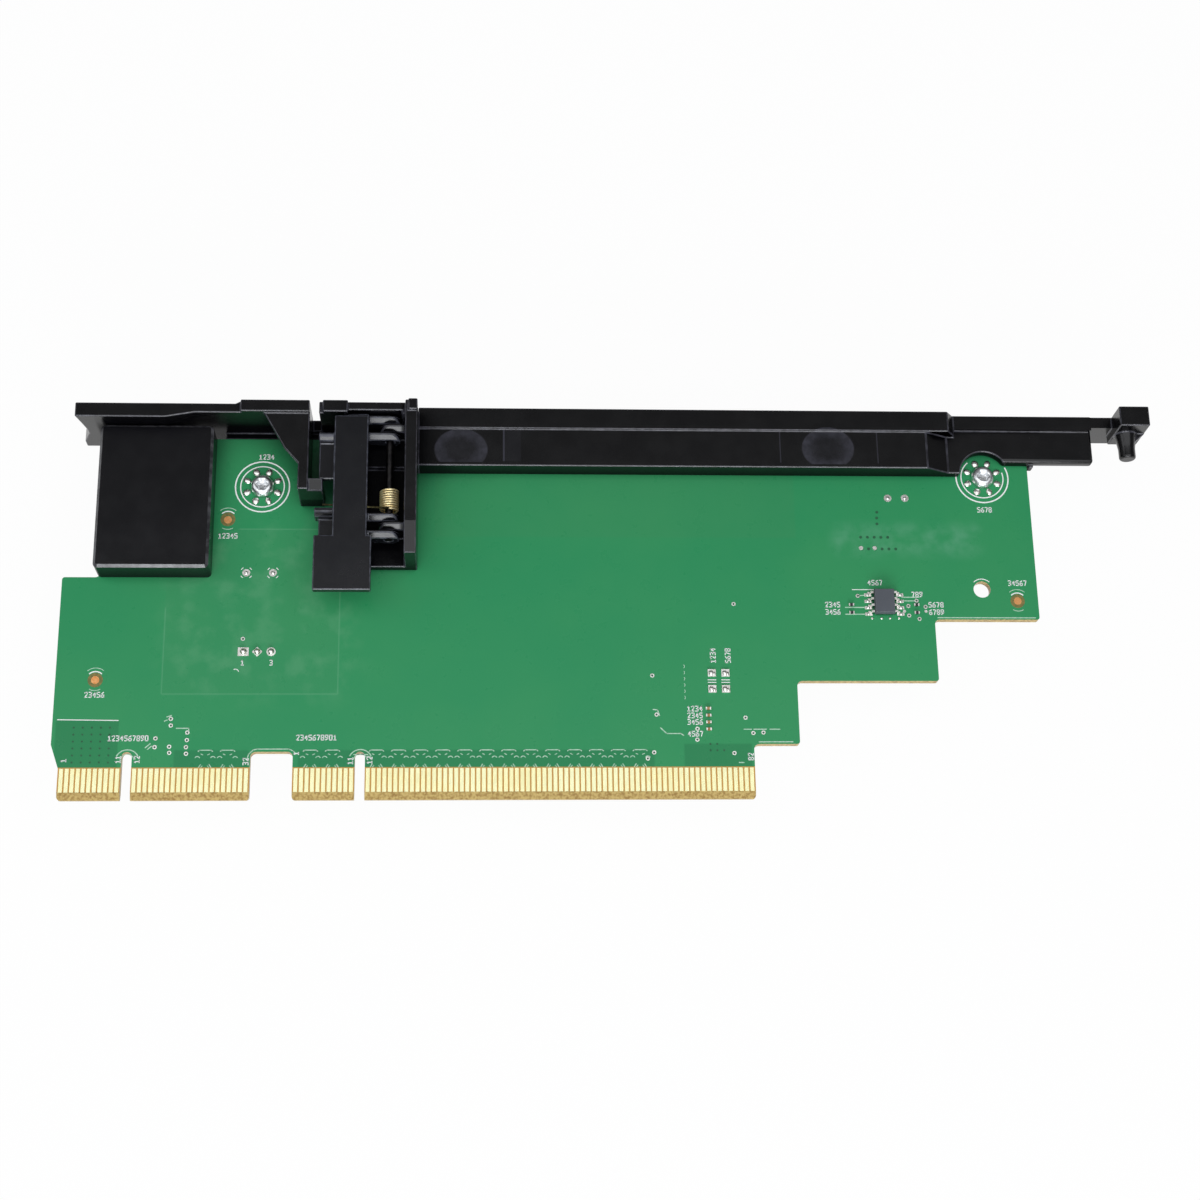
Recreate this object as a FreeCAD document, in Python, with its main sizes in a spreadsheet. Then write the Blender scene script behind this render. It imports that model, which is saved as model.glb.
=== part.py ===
import FreeCAD, Part
import math
import os
import re
import Sketcher

# Card riser: a stepped printed board with two gold card edges, a black moulded bracket along its
# top edge, a hinged and sprung latch lever, and a long card slot on the hidden face.
# X runs along the card edges, Y from their tips up the board, Z out of the face that shows the latch.
# The sizes below are taken from the board's left edge, the tips of the fingers and the plane that
# the slot rests on. Every piece is then moved so that the origin is under the middle of the whole.

SIZES = {
    # printed board, seen on its back
    "board_thick": 1.57,
    "board_tall": 70.2,
    "shoulder_in": 7.0,
    "shoulder_level": 42.3,
    "step_one_wide": 8.53,
    "step_one_level": 10.2,
    "step_two_wide": 26.7,
    "step_three_wide": 20.05,
    "step_two_level": 22.3,
    "step_three_level": 34.4,
    "inner_round": 1.0,
    "outer_round": 0.5,
    "tip_round": 0.6,
    # gold card edges
    "first_pad": 2.15,
    "edge_margin": 0.62,
    "pad_pitch": 1.0,
    "pad_wide": 0.7,
    "pad_low": 1.35,
    "pad_high": 5.75,
    "pad_thick": 0.05,
    "pads_before_key": 11,
    "short_edge_pads": 21,
    "long_edge_pads": 71,
    "key_wide": 1.86,
    "key_step": 3.0,
    "edges_apart": 8.9,
    "finger_tall": 8.85,
    "bevel_long": 1.3,
    "bevel_deep": 0.5,
    # screws and their holes
    "left_screw_in": 9.23,
    "left_screw_drop": 9.68,
    "right_screw_in": 8.93,
    "right_screw_drop": 7.03,
    "screw_hole": 3.4,
    "screw_shank": 2.9,
    "screw_long": 5.0,
    "screw_head": 4.3,
    "screw_head_high": 1.5,
    "screw_drive": 1.9,
    "screw_drive_deep": 0.9,
    "guide_hole": 3.25,
    "guide_hole_in": 10.6,
    "guide_hole_drop": 29.8,
    # card slot on the front face
    "slot_high": 11.25,
    "slot_wide": 7.5,
    "slot_long": 89.0,
    "slot_left": 49.5,
    "slot_drop": 20.7,
    "mouth_wide": 1.85,
    "mouth_deep": 8.1,
    "mouth_end": 2.2,
    "slot_key": 1.75,
    "mouth_spare": 0.65,
    "rim_wide": 0.5,
    "contact_thick": 0.3,
    "contact_wide": 0.5,
    # three pin header on the front face
    "header_x": 36.35,
    "header_y": 27.85,
    "header_pitch": 2.54,
    "header_wide": 2.5,
    "header_high": 2.5,
    "header_hole": 1.0,
    "pin_wide": 0.64,
    "pin_long": 6.0,
    "pin_tail": 0.5,
    "joint_round": 0.85,
    "joint_high": 0.4,
    # bracket wall beyond the top edge
    "front_drop": 5.2,
    "wall_left": 2.05,
    "wall_gap": 0.6,
    "wall_thick": 2.8,
    "wall_high": 9.2,
    "wall_notch": 1.3,
    "hook_lip": 0.3,
    "notch_level": 2.5,
    "notch_tall": 1.8,
    "notch_slope": 3.4,
    "hook_foot": 2.2,
    "slant_start": 18.65,
    "slant_long": 5.45,
    "slant_step": 0.95,
    "raise_after_slant": 7.5,
    "raise_out": 0.5,
    "raise_up": 0.8,
    "slit_left": 45.45,
    "slit_wide": 1.7,
    "slit_level": 0.45,
    "ledge_clear": 1.55,
    "ledge_low": 0.6,
    "board_gap": 0.25,
    # gusset and arm beside the latch
    "gusset_long": 8.5,
    "gusset_foot_long": 4.55,
    "gusset_bend_drop": 5.5,
    "gusset_drop": 8.5,
    "gusset_thick": 1.0,
    "arm_wide": 1.95,
    "arm_long": 13.65,
    "arm_catch_wide": 4.6,
    "arm_catch_long": 2.1,
    "arm_slope_drop": 1.1,
    # hinge housing
    "housing_wide": 18.4,
    "side_thick": 2.3,
    "side_high": 10.6,
    "side_reach": 26.35,
    "side_slope_long": 6.0,
    "side_slope_drop": 0.8,
    "side_knob_up": 0.6,
    "side_knob_long": 2.2,
    "floor_after_slit": 4.85,
    "floor_thick": 1.9,
    "sill_thick": 2.9,
    "stop_wide": 1.6,
    "stop_long": 1.2,
    "stop_drop": 9.2,
    "stop_gap": 0.15,
    "ear_thick": 1.3,
    "upper_ear_drop": 0.45,
    "ears_apart": 19.6,
    "ear_slope": 1.0,
    "knuckle_room": 0.35,
    "bump_after_slit": 0.7,
    "bump_long": 4.7,
    "bump_up": 0.9,
    # hinge
    "hinge_in": 5.2,
    "hinge_z": 5.5,
    "knuckle_round": 1.95,
    "knuckle_thick": 1.3,
    "knuckle_gap": 0.4,
    "pin_round": 0.7,
    "pin_clearance": 0.05,
    # latch lever
    "lever_high": 9.6,
    "lever_thick": 1.6,
    "lever_after_slit": 3.0,
    "lever_wide": 6.3,
    "lever_past": 1.0,
    "foot_left_out": 3.4,
    "foot_right_out": 0.9,
    "foot_reach": 33.5,
    "foot_tall": 10.6,
    "cheek_thick": 1.2,
    "shelf_out": 2.9,
    "shelf_up": 7.0,
    "shelf_thick": 1.4,
    "shelf_drop": 10.8,
    "shelf_tall": 8.5,
    "shelf_rib": 1.4,
    "shelf_rib_up": 2.0,
    "shelf_slope": 0.8,
    "tab_out": 3.55,
    "tab_drop": 18.3,
    "tab_tall": 1.6,
    "tab_up": 7.6,
    "tab_slope": 0.8,
    "waist_out": 2.85,
    "waist_up": 5.6,
    "arm_root": 4.0,
    # torsion spring
    "spring_wire": 0.25,
    "spring_turns": 8,
    "spring_gap": 0.3,
    "spring_pitch": 0.6,
    "spring_round": 1.45,
    "spring_leg_out": 2.15,
    "spring_leg_up": 2.4,
    # long bar over the top edge
    "bar_short": 20.3,
    "bar_cover": 6.85,
    "bar_high": 4.45,
    "bar_step_past": 0.65,
    "bar_past": 4.85,
    "strip_up": 0.3,
    "bar_wall": 2.3,
    "bar_skin": 1.6,
    "ramp_long": 4.4,
    "strip_step": 1.4,
    "low_past": 12.6,
    "low_inset": 2.3,
    "low_high": 2.0,
    "low_step_out": 1.3,
    "low_strip_up": 0.7,
    "low_round": 0.6,
    "cutout_round": 4.65,
    "hook_wide": 0.9,
    "hook_long": 0.6,
    "hook_drop": 1.0,
    "hook_gap": 0.15,
    # end block and guide peg
    "neck_high": 2.5,
    "neck_long": 4.2,
    "block_wide": 5.8,
    "block_past": 0.85,
    "block_high": 7.9,
    "block_low": 1.7,
    "peg_in": 2.25,
    "peg_round": 1.6,
    "peg_root": 2.1,
    "peg_z": 3.0,
    "peg_long": 5.1,
    "peg_tip_round": 0.5,
    "web_thick": 1.0,
    "web_long": 3.0,
    # lugs behind the board that take the screws
    "lug_round": 5.0,
    # cover block
    "cover_left": 6.4,
    "cover_right": 27.4,
    "cover_past": 0.4,
    "cover_high": 5.9,
    "cover_round": 0.6,
    # small parts on the back
    "chip_in": 29.6,
    "chip_drop": 32.55,
    "chip_wide": 3.9,
    "chip_tall": 4.9,
    "chip_high": 1.6,
    "chip_stand": 0.15,
    "chip_bevel": 0.15,
    "lead_pitch": 1.27,
    "lead_wide": 0.42,
    "lead_reach": 1.05,
    "lead_foot": 0.5,
    "lead_thick": 0.2,
    "small_long": 1.0,
    "small_wide": 0.5,
    "small_high": 0.4,
    "end_share": 0.25,
    "resistor_reach": 6.2,
    "resistor_drop": 1.2,
    "resistor_apart": 1.55,
    "spare_in": 41.34,
    "spare_drop": 0.05,
    "spare_apart": 2.54,
    "spare_gap": 3.08,
    "spare_wide": 1.5,
    "spare_tall": 1.45,
    "spare_high": 0.2,
    "column_in": 2.14,
    "column_drop": 9.27,
    "column_apart": 1.32,
    "dot_ring": 3.1,
    "dot_round": 0.5,
    "dot_high": 0.1,
    "mark_one_in": 6.22,
    "mark_one_drop": 16.4,
    "mark_two_in": 3.95,
    "mark_two_up": 3.7,
    "mark_three_x": 7.2,
    "mark_three_drop": 19.9,
    "mark_round": 0.75,
}

# Places that follow from the sizes, so that what sits together stays together.
PLACES = {
    "back_face": "slot_high + board_thick",
    "front_face": "back_face - front_drop",
    "key_to_key": "pad_pitch * pads_before_key - pad_pitch + key_step",
    "short_last": "first_pad + key_to_key + pad_pitch * short_edge_pads - pad_pitch",
    "long_first": "short_last + edges_apart",
    "long_last": "long_first + key_to_key + pad_pitch * long_edge_pads - pad_pitch",
    "long_right": "long_last + edge_margin",
    "step_one_right": "long_right + step_one_wide",
    "step_two_right": "step_one_right + step_two_wide",
    "board_wide": "step_two_right + step_three_wide",
    "guide_hole_x": "board_wide - guide_hole_in",
    "guide_hole_y": "board_tall - guide_hole_drop",
    "slot_x": "slot_left + 0.5 * slot_long",
    "slot_y": "board_tall - slot_drop",
    "slit_right": "slit_left + slit_wide",
    "left_screw_x": "slit_left - left_screw_in",
    "left_screw_y": "board_tall - left_screw_drop",
    "right_screw_x": "board_wide - right_screw_in",
    "right_screw_y": "board_tall - right_screw_drop",
    "wall_inner": "board_tall + wall_gap",
    "wall_outer": "wall_inner + wall_thick",
    "wall_top": "back_face + wall_high",
    "inner_face": "wall_inner + slant_step",
    "outer_face": "wall_outer + raise_out",
    "slant_end": "slant_start + slant_long",
    "raise_start": "slant_end + raise_after_slant",
    "ledge_start": "cover_right + ledge_clear",
    "gusset_start": "slit_left - gusset_long",
    "gusset_bend": "slit_left - gusset_foot_long",
    "gusset_bend_level": "board_tall - gusset_bend_drop",
    "gusset_foot_level": "board_tall - gusset_drop",
    "arm_left": "slit_left - arm_wide",
    "arm_near": "board_tall - arm_long",
    "housing_right": "slit_right + housing_wide",
    "side_left": "housing_right - side_thick",
    "side_near": "board_tall - side_reach",
    "side_top": "back_face + side_high",
    "floor_left": "slit_right + floor_after_slit",
    "stop_level": "board_tall - stop_drop",
    "upper_ear": "board_tall - upper_ear_drop",
    "lower_ear": "upper_ear - ears_apart",
    "bump_start": "slit_right + bump_after_slit",
    "hinge_x": "housing_right - hinge_in",
    "hinge_height": "back_face + hinge_z",
    "knuckle_top": "hinge_height + knuckle_round",
    "lever_top": "back_face + lever_high",
    "lever_low": "lever_top - lever_thick",
    "lever_left": "slit_right + lever_after_slit",
    "lever_right": "lever_left + lever_wide",
    "lever_far": "board_tall + lever_past",
    "shelf_top": "back_face + shelf_up",
    "waist_top": "back_face + waist_up",
    "tab_top": "back_face + tab_up",
    "cheek_right": "lever_left + cheek_thick",
    "foot_left": "lever_left - foot_left_out",
    "foot_right": "lever_right + foot_right_out",
    "foot_near": "board_tall - foot_reach",
    "foot_far": "foot_near + foot_tall",
    "shelf_left": "lever_left - shelf_out",
    "shelf_near": "board_tall - shelf_drop",
    "shelf_far": "shelf_near + shelf_tall",
    "tab_left": "lever_left - tab_out",
    "tab_near": "board_tall - tab_drop",
    "tab_far": "tab_near + tab_tall",
    "waist_left": "lever_left - waist_out",
    "knuckle_out": "0.5 * ear_thick + knuckle_gap + knuckle_thick",
    "spring_leg_end": "lever_left - spring_leg_out",
    "bar_right": "board_wide - bar_short",
    "bar_near": "board_tall - bar_cover",
    "bar_step": "board_tall + bar_step_past",
    "bar_outer": "board_tall + bar_past",
    "bar_top": "back_face + bar_high",
    "strip_top": "bar_top + strip_up",
    "ramp_end": "bar_right + ramp_long",
    "wall_face": "bar_outer - bar_wall",
    "low_right": "board_wide + low_past",
    "low_near": "bar_near + low_inset",
    "low_step": "bar_step + low_step_out",
    "low_top": "back_face + low_high",
    "low_strip_top": "low_top + low_strip_up",
    "block_left": "low_right + neck_long",
    "block_right": "block_left + block_wide",
    "block_near": "board_tall + block_past",
    "peg_x": "block_left + peg_in",
    "cover_near": "shoulder_level",
    "cover_far": "board_tall + cover_past",
    "chip_x": "board_wide - chip_in",
    "chip_y": "board_tall - chip_drop",
    "resistor_y": "chip_y - resistor_drop",
    "spare_x": "step_two_right - spare_in",
    "spare_y": "step_two_level - spare_drop",
    "column_x": "spare_x - column_in",
    "column_y": "spare_y - column_drop",
    "mark_one_x": "left_screw_x - mark_one_in",
    "mark_one_y": "board_tall - mark_one_drop",
    "mark_two_x": "board_wide - mark_two_in",
    "mark_two_y": "step_three_level + mark_two_up",
    "mark_three_y": "shoulder_level - mark_three_drop",
    "middle_x": "0.5 * block_right",
    "middle_y": "0.5 * bar_outer",
}

doc = FreeCAD.newDocument("riser")
sheet = doc.addObject("Spreadsheet::Sheet", "Sizes")
for row, (alias, number) in enumerate(SIZES.items(), 1):
    sheet.set("A%d" % row, alias)
    sheet.set("B%d" % row, str(number))
    sheet.setAlias("B%d" % row, alias)
doc.recompute()
WORD = re.compile(r"\b[a-z]+(_[a-z]+)+\b")


def linked(text):
    """The formula with each place written out and each size's name pointing at its cell."""
    def swap(found):
        name = found.group()
        return "(" + linked(PLACES[name]) + ")" if name in PLACES else "Sizes." + name
    return WORD.sub(swap, text)


def tie(thing, path, text):
    thing.setExpression(path, linked(text))


def size(name):
    """The number that a size, a place or a plain factor stands for."""
    if name in SIZES:
        return float(sheet.get(name))
    if name not in PLACES:
        return float(name)
    total = 0.0
    sign = 1
    for part in re.split(r" ([+-]) ", PLACES[name]):
        if part in "+-":
            sign = 1 if part == "+" else -1
        else:
            total += sign * math.prod(size(factor) for factor in part.split(" * "))
    return total


def centred(thing):
    """Moves a finished piece so that the origin is under the middle of the whole part."""
    tie(thing, "Placement.Base.x", "-middle_x")
    tie(thing, "Placement.Base.y", "-middle_y")
    return thing


def new_body(name):
    body = doc.addObject("PartDesign::Body", name)
    body.Label = name
    return centred(body)


def sketch_on(body, name, plane, away="0"):
    """A sketch on one of the body's own planes, moved along the plane's normal."""
    sketch = body.newObject("Sketcher::SketchObject", name)
    role = plane + "_Plane"
    face = [item for item in body.Origin.OriginFeatures if item.Role == role][0]
    sketch.AttachmentSupport = [(face, "")]
    sketch.MapMode = "FlatFace"
    tie(sketch, "AttachmentOffset.Base.z", away)
    return sketch


def fix_point(sketch, geometry, point, across, up):
    """Ties one point of a sketch to two formulas."""
    for kind, text in (("DistanceX", across), ("DistanceY", up)):
        index = sketch.addConstraint(Sketcher.Constraint(kind, geometry, point, 1.0))
        tie(sketch, "Constraints[%d]" % index, text)


def draw_outline(sketch, corners):
    """A closed outline of straight sides with every corner tied to the sheet."""
    start = sketch.GeometryCount
    count = len(corners)
    ring = []
    for number in range(count):
        turn = 2 * math.pi * number / count
        ring.append(FreeCAD.Vector(20 * math.cos(turn), 20 * math.sin(turn), 0))
    for number in range(count):
        sketch.addGeometry(Part.LineSegment(ring[number], ring[(number + 1) % count]))
    for number in range(count):
        following = start + (number + 1) % count
        sketch.addConstraint(Sketcher.Constraint("Coincident", start + number, 2, following, 1))
    for number, (across, up) in enumerate(corners):
        fix_point(sketch, start + number, 1, across, up)


def draw_rectangle(sketch, left, low, right, high):
    draw_outline(sketch, [(left, low), (right, low), (right, high), (left, high)])


def draw_circle(sketch, across, up, radius):
    normal = FreeCAD.Vector(0, 0, 1)
    number = sketch.addGeometry(Part.Circle(FreeCAD.Vector(1, 1, 0), normal, 1.0))
    index = sketch.addConstraint(Sketcher.Constraint("Radius", number, 1.0))
    tie(sketch, "Constraints[%d]" % index, radius)
    fix_point(sketch, number, 3, across, up)


def pad(body, name, sketch, length, backwards=False):
    feature = body.newObject("PartDesign::Pad", name)
    feature.Profile = sketch
    feature.Reversed = backwards
    tie(feature, "Length", length)
    return feature


def pocket(body, name, sketch, length, backwards=False):
    feature = body.newObject("PartDesign::Pocket", name)
    feature.Profile = sketch
    feature.Reversed = backwards
    tie(feature, "Length", length)
    return feature


def plate(body, name, low, high, corners):
    """A flat solid between two levels."""
    sketch = sketch_on(body, name + "_outline", "XY", low)
    draw_outline(sketch, corners)
    return pad(body, name, sketch, "%s - (%s)" % (high, low))


def block(body, name, low, high, left, near, right, far):
    corners = [(left, near), (right, near), (right, far), (left, far)]
    return plate(body, name, low, high, corners)


def across_y(body, name, near, far, corners, cut=False):
    """A profile in X and Z carried along Y, added or cut."""
    sketch = sketch_on(body, name + "_outline", "XZ", "-(%s)" % near)
    draw_outline(sketch, corners)
    length = "%s - (%s)" % (far, near)
    if cut:
        return pocket(body, name, sketch, length)
    return pad(body, name, sketch, length, True)


def along_x(body, name, left, right, corners, cut=False):
    """A profile in Y and Z carried along X, added or cut."""
    sketch = sketch_on(body, name + "_outline", "YZ", left)
    draw_outline(sketch, corners)
    length = "%s - (%s)" % (right, left)
    if cut:
        return pocket(body, name, sketch, length, True)
    return pad(body, name, sketch, length)


def edges_where(body, wanted):
    """Names of the body's edges that pass the test."""
    doc.recompute()
    return ["Edge%d" % (n + 1) for n, edge in enumerate(body.Shape.Edges) if wanted(edge)]


def round_edges(body, name, radius, wanted):
    names = edges_where(body, wanted)
    if not names:
        raise ValueError("no edge for " + name)
    carrier = body.Tip
    feature = body.newObject("PartDesign::Fillet", name)
    feature.Base = (carrier, names)
    tie(feature, "Radius", radius)
    return feature


def upright(edge):
    """True for an edge that stands along Z."""
    if len(edge.Vertexes) != 2 or edge.Curve.TypeId != "Part::GeomLine":
        return False
    ends = [vertex.Point for vertex in edge.Vertexes]
    return abs(ends[0].x - ends[1].x) < 0.001 and abs(ends[0].y - ends[1].y) < 0.001


def here(edge):
    """The middle of an edge, from the board's left edge and the finger tips."""
    return edge.BoundBox.Center + FreeCAD.Vector(size("middle_x"), size("middle_y"), 0)


def row_of_pads(first, after_key):
    """Centres of one card edge's pads along X, on both sides of its key."""
    before = int(size("pads_before_key"))
    pitch = size("pad_pitch")
    places = [first + pitch * number for number in range(before)]
    restart = places[-1] + size("key_step")
    return places + [restart + pitch * number for number in range(int(after_key))]


SHORT_PADS = row_of_pads(size("first_pad"), size("short_edge_pads"))
LONG_PADS = row_of_pads(size("long_first"), size("long_edge_pads"))


# Printed board
def inner_corner(edge):
    """True for an upright edge in one of the board's inner corners, gaps and steps."""
    margin = size("edge_margin")
    corners = [
        (size("short_last") + margin, size("finger_tall")),
        (size("long_first") - margin, size("finger_tall")),
        (size("long_right"), size("step_one_level")),
        (size("step_one_right"), size("step_two_level")),
        (size("step_two_right"), size("step_three_level")),
        (size("shoulder_in"), size("shoulder_level")),
    ]
    spot = here(edge)
    return upright(edge) and any(math.hypot(spot.x - x, spot.y - y) < 0.01 for x, y in corners)


def outer_corner(edge):
    """True for an upright edge at the outer corners of the steps and the shoulder."""
    corners = [
        (size("step_one_right"), size("step_one_level")),
        (size("step_two_right"), size("step_two_level")),
        (size("board_wide"), size("step_three_level")),
        (0, size("shoulder_level")),
    ]
    spot = here(edge)
    return upright(edge) and any(math.hypot(spot.x - x, spot.y - y) < 0.01 for x, y in corners)


def tip_corner(edge):
    """True for an upright edge where a card edge ends at its tips."""
    margin = size("edge_margin")
    ends = [
        size("first_pad") - margin,
        size("short_last") + margin,
        size("long_first") - margin,
        size("long_right"),
    ]
    spot = here(edge)
    return upright(edge) and abs(spot.y) < 0.01 and any(abs(spot.x - x) < 0.01 for x in ends)


def make_board():
    body = new_body("board")
    left = "first_pad - edge_margin"
    long_left = "long_first - edge_margin"
    plate(body, "laminate", "slot_high", "back_face", [
        (left, "0"),
        ("short_last + edge_margin", "0"),
        ("short_last + edge_margin", "finger_tall"),
        (long_left, "finger_tall"),
        (long_left, "0"),
        ("long_right", "0"),
        ("long_right", "step_one_level"),
        ("step_one_right", "step_one_level"),
        ("step_one_right", "step_two_level"),
        ("step_two_right", "step_two_level"),
        ("step_two_right", "step_three_level"),
        ("board_wide", "step_three_level"),
        ("board_wide", "board_tall"),
        ("shoulder_in", "board_tall"),
        ("shoulder_in", "shoulder_level"),
        ("0", "shoulder_level"),
        ("0", "step_one_level"),
        (left, "pad_high"),
    ])
    round_edges(body, "inner_corners", "inner_round", inner_corner)
    round_edges(body, "outer_corners", "outer_round", outer_corner)
    round_edges(body, "tip_corners", "tip_round", tip_corner)
    holes = sketch_on(body, "hole_circles", "XY", "back_face")
    draw_circle(holes, "left_screw_x", "left_screw_y", "screw_hole / 2")
    draw_circle(holes, "right_screw_x", "right_screw_y", "screw_hole / 2")
    draw_circle(holes, "guide_hole_x", "guide_hole_y", "guide_hole / 2")
    for number in (-1, 0, 1):
        draw_circle(holes, "header_x + header_pitch * %d" % number, "header_y", "header_hole / 2")
    pocket(body, "holes", holes, "board_thick")
    keys = sketch_on(body, "key_outlines", "XY", "back_face")
    tops = sketch_on(body, "key_top_circles", "XY", "back_face")
    for first in ("first_pad", "long_first"):
        middle = "(%s + pad_pitch * (pads_before_key - 1) + key_step / 2)" % first
        low = "finger_tall - key_wide / 2"
        draw_rectangle(keys, middle + " - key_wide / 2", "-1", middle + " + key_wide / 2", low)
        draw_circle(tops, middle, low, "key_wide / 2")
    pocket(body, "keys", keys, "board_thick")
    pocket(body, "key_tops", tops, "board_thick")
    for name, face, inward in (("back", "back_face", "-"), ("front", "slot_high", "+")):
        tips = [
            ("-bevel_long", face),
            ("-bevel_long", "%s %s 2 * bevel_deep" % (face, inward)),
            ("bevel_long", face),
        ]
        along_x(body, name + "_bevel", "0", "board_wide", tips, True)
    return body


def make_pads(name, places):
    """Gold pads on both faces of one card edge."""
    wide = size("pad_wide")
    thick = size("pad_thick")
    tall = size("pad_high") - size("pad_low")
    solids = []
    for x in places:
        for z in (size("slot_high") - thick, size("back_face")):
            corner = FreeCAD.Vector(x - wide / 2, size("pad_low"), z)
            solids.append(Part.makeBox(wide, tall, thick, corner))
    return solids_piece(name, solids)


def solids_piece(name, solids):
    """One piece made of separate or fused solids."""
    piece = doc.addObject("Part::Feature", name)
    piece.Label = name
    piece.Shape = Part.makeCompound(solids) if len(solids) > 1 else solids[0]
    return centred(piece)


# Bracket: one black moulding that wraps the board's top edge


def add_left_wall(body):
    """Wall past the board's top edge, from its hooked end to the slit."""
    plate(body, "left_wall", "front_face", "wall_top", [
        ("wall_left", "wall_inner"),
        ("slant_start", "wall_inner"),
        ("slant_end", "inner_face"),
        ("slit_left", "inner_face"),
        ("slit_left", "outer_face"),
        ("raise_start + 2 * raise_out", "outer_face"),
        ("raise_start", "wall_outer"),
        ("wall_left", "wall_outer"),
    ])
    across_y(body, "end_hook", "wall_inner - 1", "wall_outer + 1", [
        ("wall_left - 1", "wall_top - hook_lip"),
        ("wall_left", "wall_top - hook_lip"),
        ("wall_left + wall_notch / 2", "back_face + notch_level + notch_slope"),
        ("wall_left + wall_notch", "back_face + notch_level"),
        ("wall_left + wall_notch", "back_face + notch_level - notch_tall"),
        ("wall_left", "front_face + hook_foot"),
        ("wall_left - 1", "front_face + hook_foot"),
    ], True)
    block(body, "raised_wall", "wall_top - 1", "wall_top + raise_up",
          "raise_start + 2 * raise_out", "inner_face", "slit_left", "outer_face")
    block(body, "ledge", "front_face", "back_face - ledge_low",
          "ledge_start", "board_tall + board_gap", "housing_right", "inner_face")


def add_arm(body):
    """Thin gusset and the arm that ends in a sloped catch beside the lever."""
    plate(body, "gusset", "wall_top - gusset_thick", "wall_top", [
        ("gusset_start", "inner_face"),
        ("gusset_bend", "gusset_bend_level"),
        ("arm_left", "gusset_foot_level"),
        ("slit_left", "gusset_foot_level"),
        ("slit_left", "inner_face"),
    ])
    block(body, "arm", "back_face", "wall_top", "arm_left", "arm_near", "slit_left", "inner_face")
    along_x(body, "catch", "arm_left", "arm_left + arm_catch_wide", [
        ("arm_near", "back_face"),
        ("arm_near", "wall_top - arm_slope_drop"),
        ("arm_near + arm_catch_long", "wall_top"),
        ("arm_near + arm_catch_long", "back_face"),
    ])


def add_housing(body):
    """Walls, floor and ears round the hinge."""
    block(body, "slit_floor", "front_face", "back_face + slit_level",
          "slit_left", "inner_face", "slit_right", "outer_face")
    block(body, "housing_wall", "front_face", "wall_top",
          "slit_right", "inner_face", "housing_right", "outer_face")
    block(body, "wall_bump", "wall_top - 1", "wall_top + bump_up",
          "bump_start", "inner_face", "bump_start + bump_long", "outer_face")
    along_x(body, "side_wall", "side_left", "housing_right", [
        ("side_near", "back_face"),
        ("side_near", "side_top - side_slope_drop"),
        ("side_near + side_slope_long", "side_top"),
        ("outer_face", "side_top"),
        ("outer_face", "back_face"),
    ])
    block(body, "side_knob", "side_top - 1", "side_top + side_knob_up",
          "side_left + side_thick / 4", "outer_face - side_knob_long", "housing_right", "outer_face")
    block(body, "floor", "back_face", "back_face + floor_thick",
          "floor_left", "side_near", "housing_right", "bar_near")
    block(body, "sill", "back_face", "back_face + sill_thick",
          "floor_left", "bar_near", "housing_right", "inner_face")
    block(body, "stop", "back_face", "lever_low - stop_gap",
          "floor_left", "stop_level", "floor_left + stop_wide", "stop_level + stop_long")
    room = sketch_on(body, "knuckle_room_outline", "XY", "wall_top")
    draw_rectangle(room, "lever_right - arm_root - knuckle_room", "inner_face - 1",
                   "hinge_x + knuckle_round + knuckle_room",
                   "upper_ear + knuckle_out + knuckle_room")
    pocket(body, "knuckle_room", room, "wall_high - sill_thick")
    for name, middle in (("upper", "upper_ear"), ("lower", "lower_ear")):
        near = "(%s - ear_thick / 2)" % middle
        far = "(%s + ear_thick / 2)" % middle
        across_y(body, name + "_ear", near, far, [
            ("hinge_x - knuckle_round", "back_face + floor_thick / 2"),
            ("side_left + side_thick / 2", "back_face + floor_thick / 2"),
            ("side_left + side_thick / 2", "knuckle_top"),
            ("hinge_x", "knuckle_top"),
            ("hinge_x", "hinge_height"),
            ("hinge_x - knuckle_round", "hinge_height"),
        ])
        nose = sketch_on(body, name + "_nose_circle", "XZ", "-" + near)
        draw_circle(nose, "hinge_x", "hinge_height", "knuckle_round")
        pad(body, name + "_nose", nose, "ear_thick", True)
        along_x(body, name + "_ear_slope", "hinge_x - knuckle_round - 1", "side_left",
                slope_corners(near, "knuckle_top", "ear_slope"), True)
    bore = sketch_on(body, "pin_bore_circle", "XZ", "-side_near")
    draw_circle(bore, "hinge_x", "hinge_height", "pin_round")
    pocket(body, "pin_bore", bore, "inner_face - side_near")


def slope_corners(near, top, drop):
    """A triangle in Y and Z that takes a 45 degree slope off a rib's near upper edge."""
    return [
        (near + " - 0.2", top + " - %s - 0.2" % drop),
        (near + " + %s + 0.2" % drop, top + " + 0.2"),
        (near + " - 0.2", top + " + 0.2"),
    ]


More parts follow.
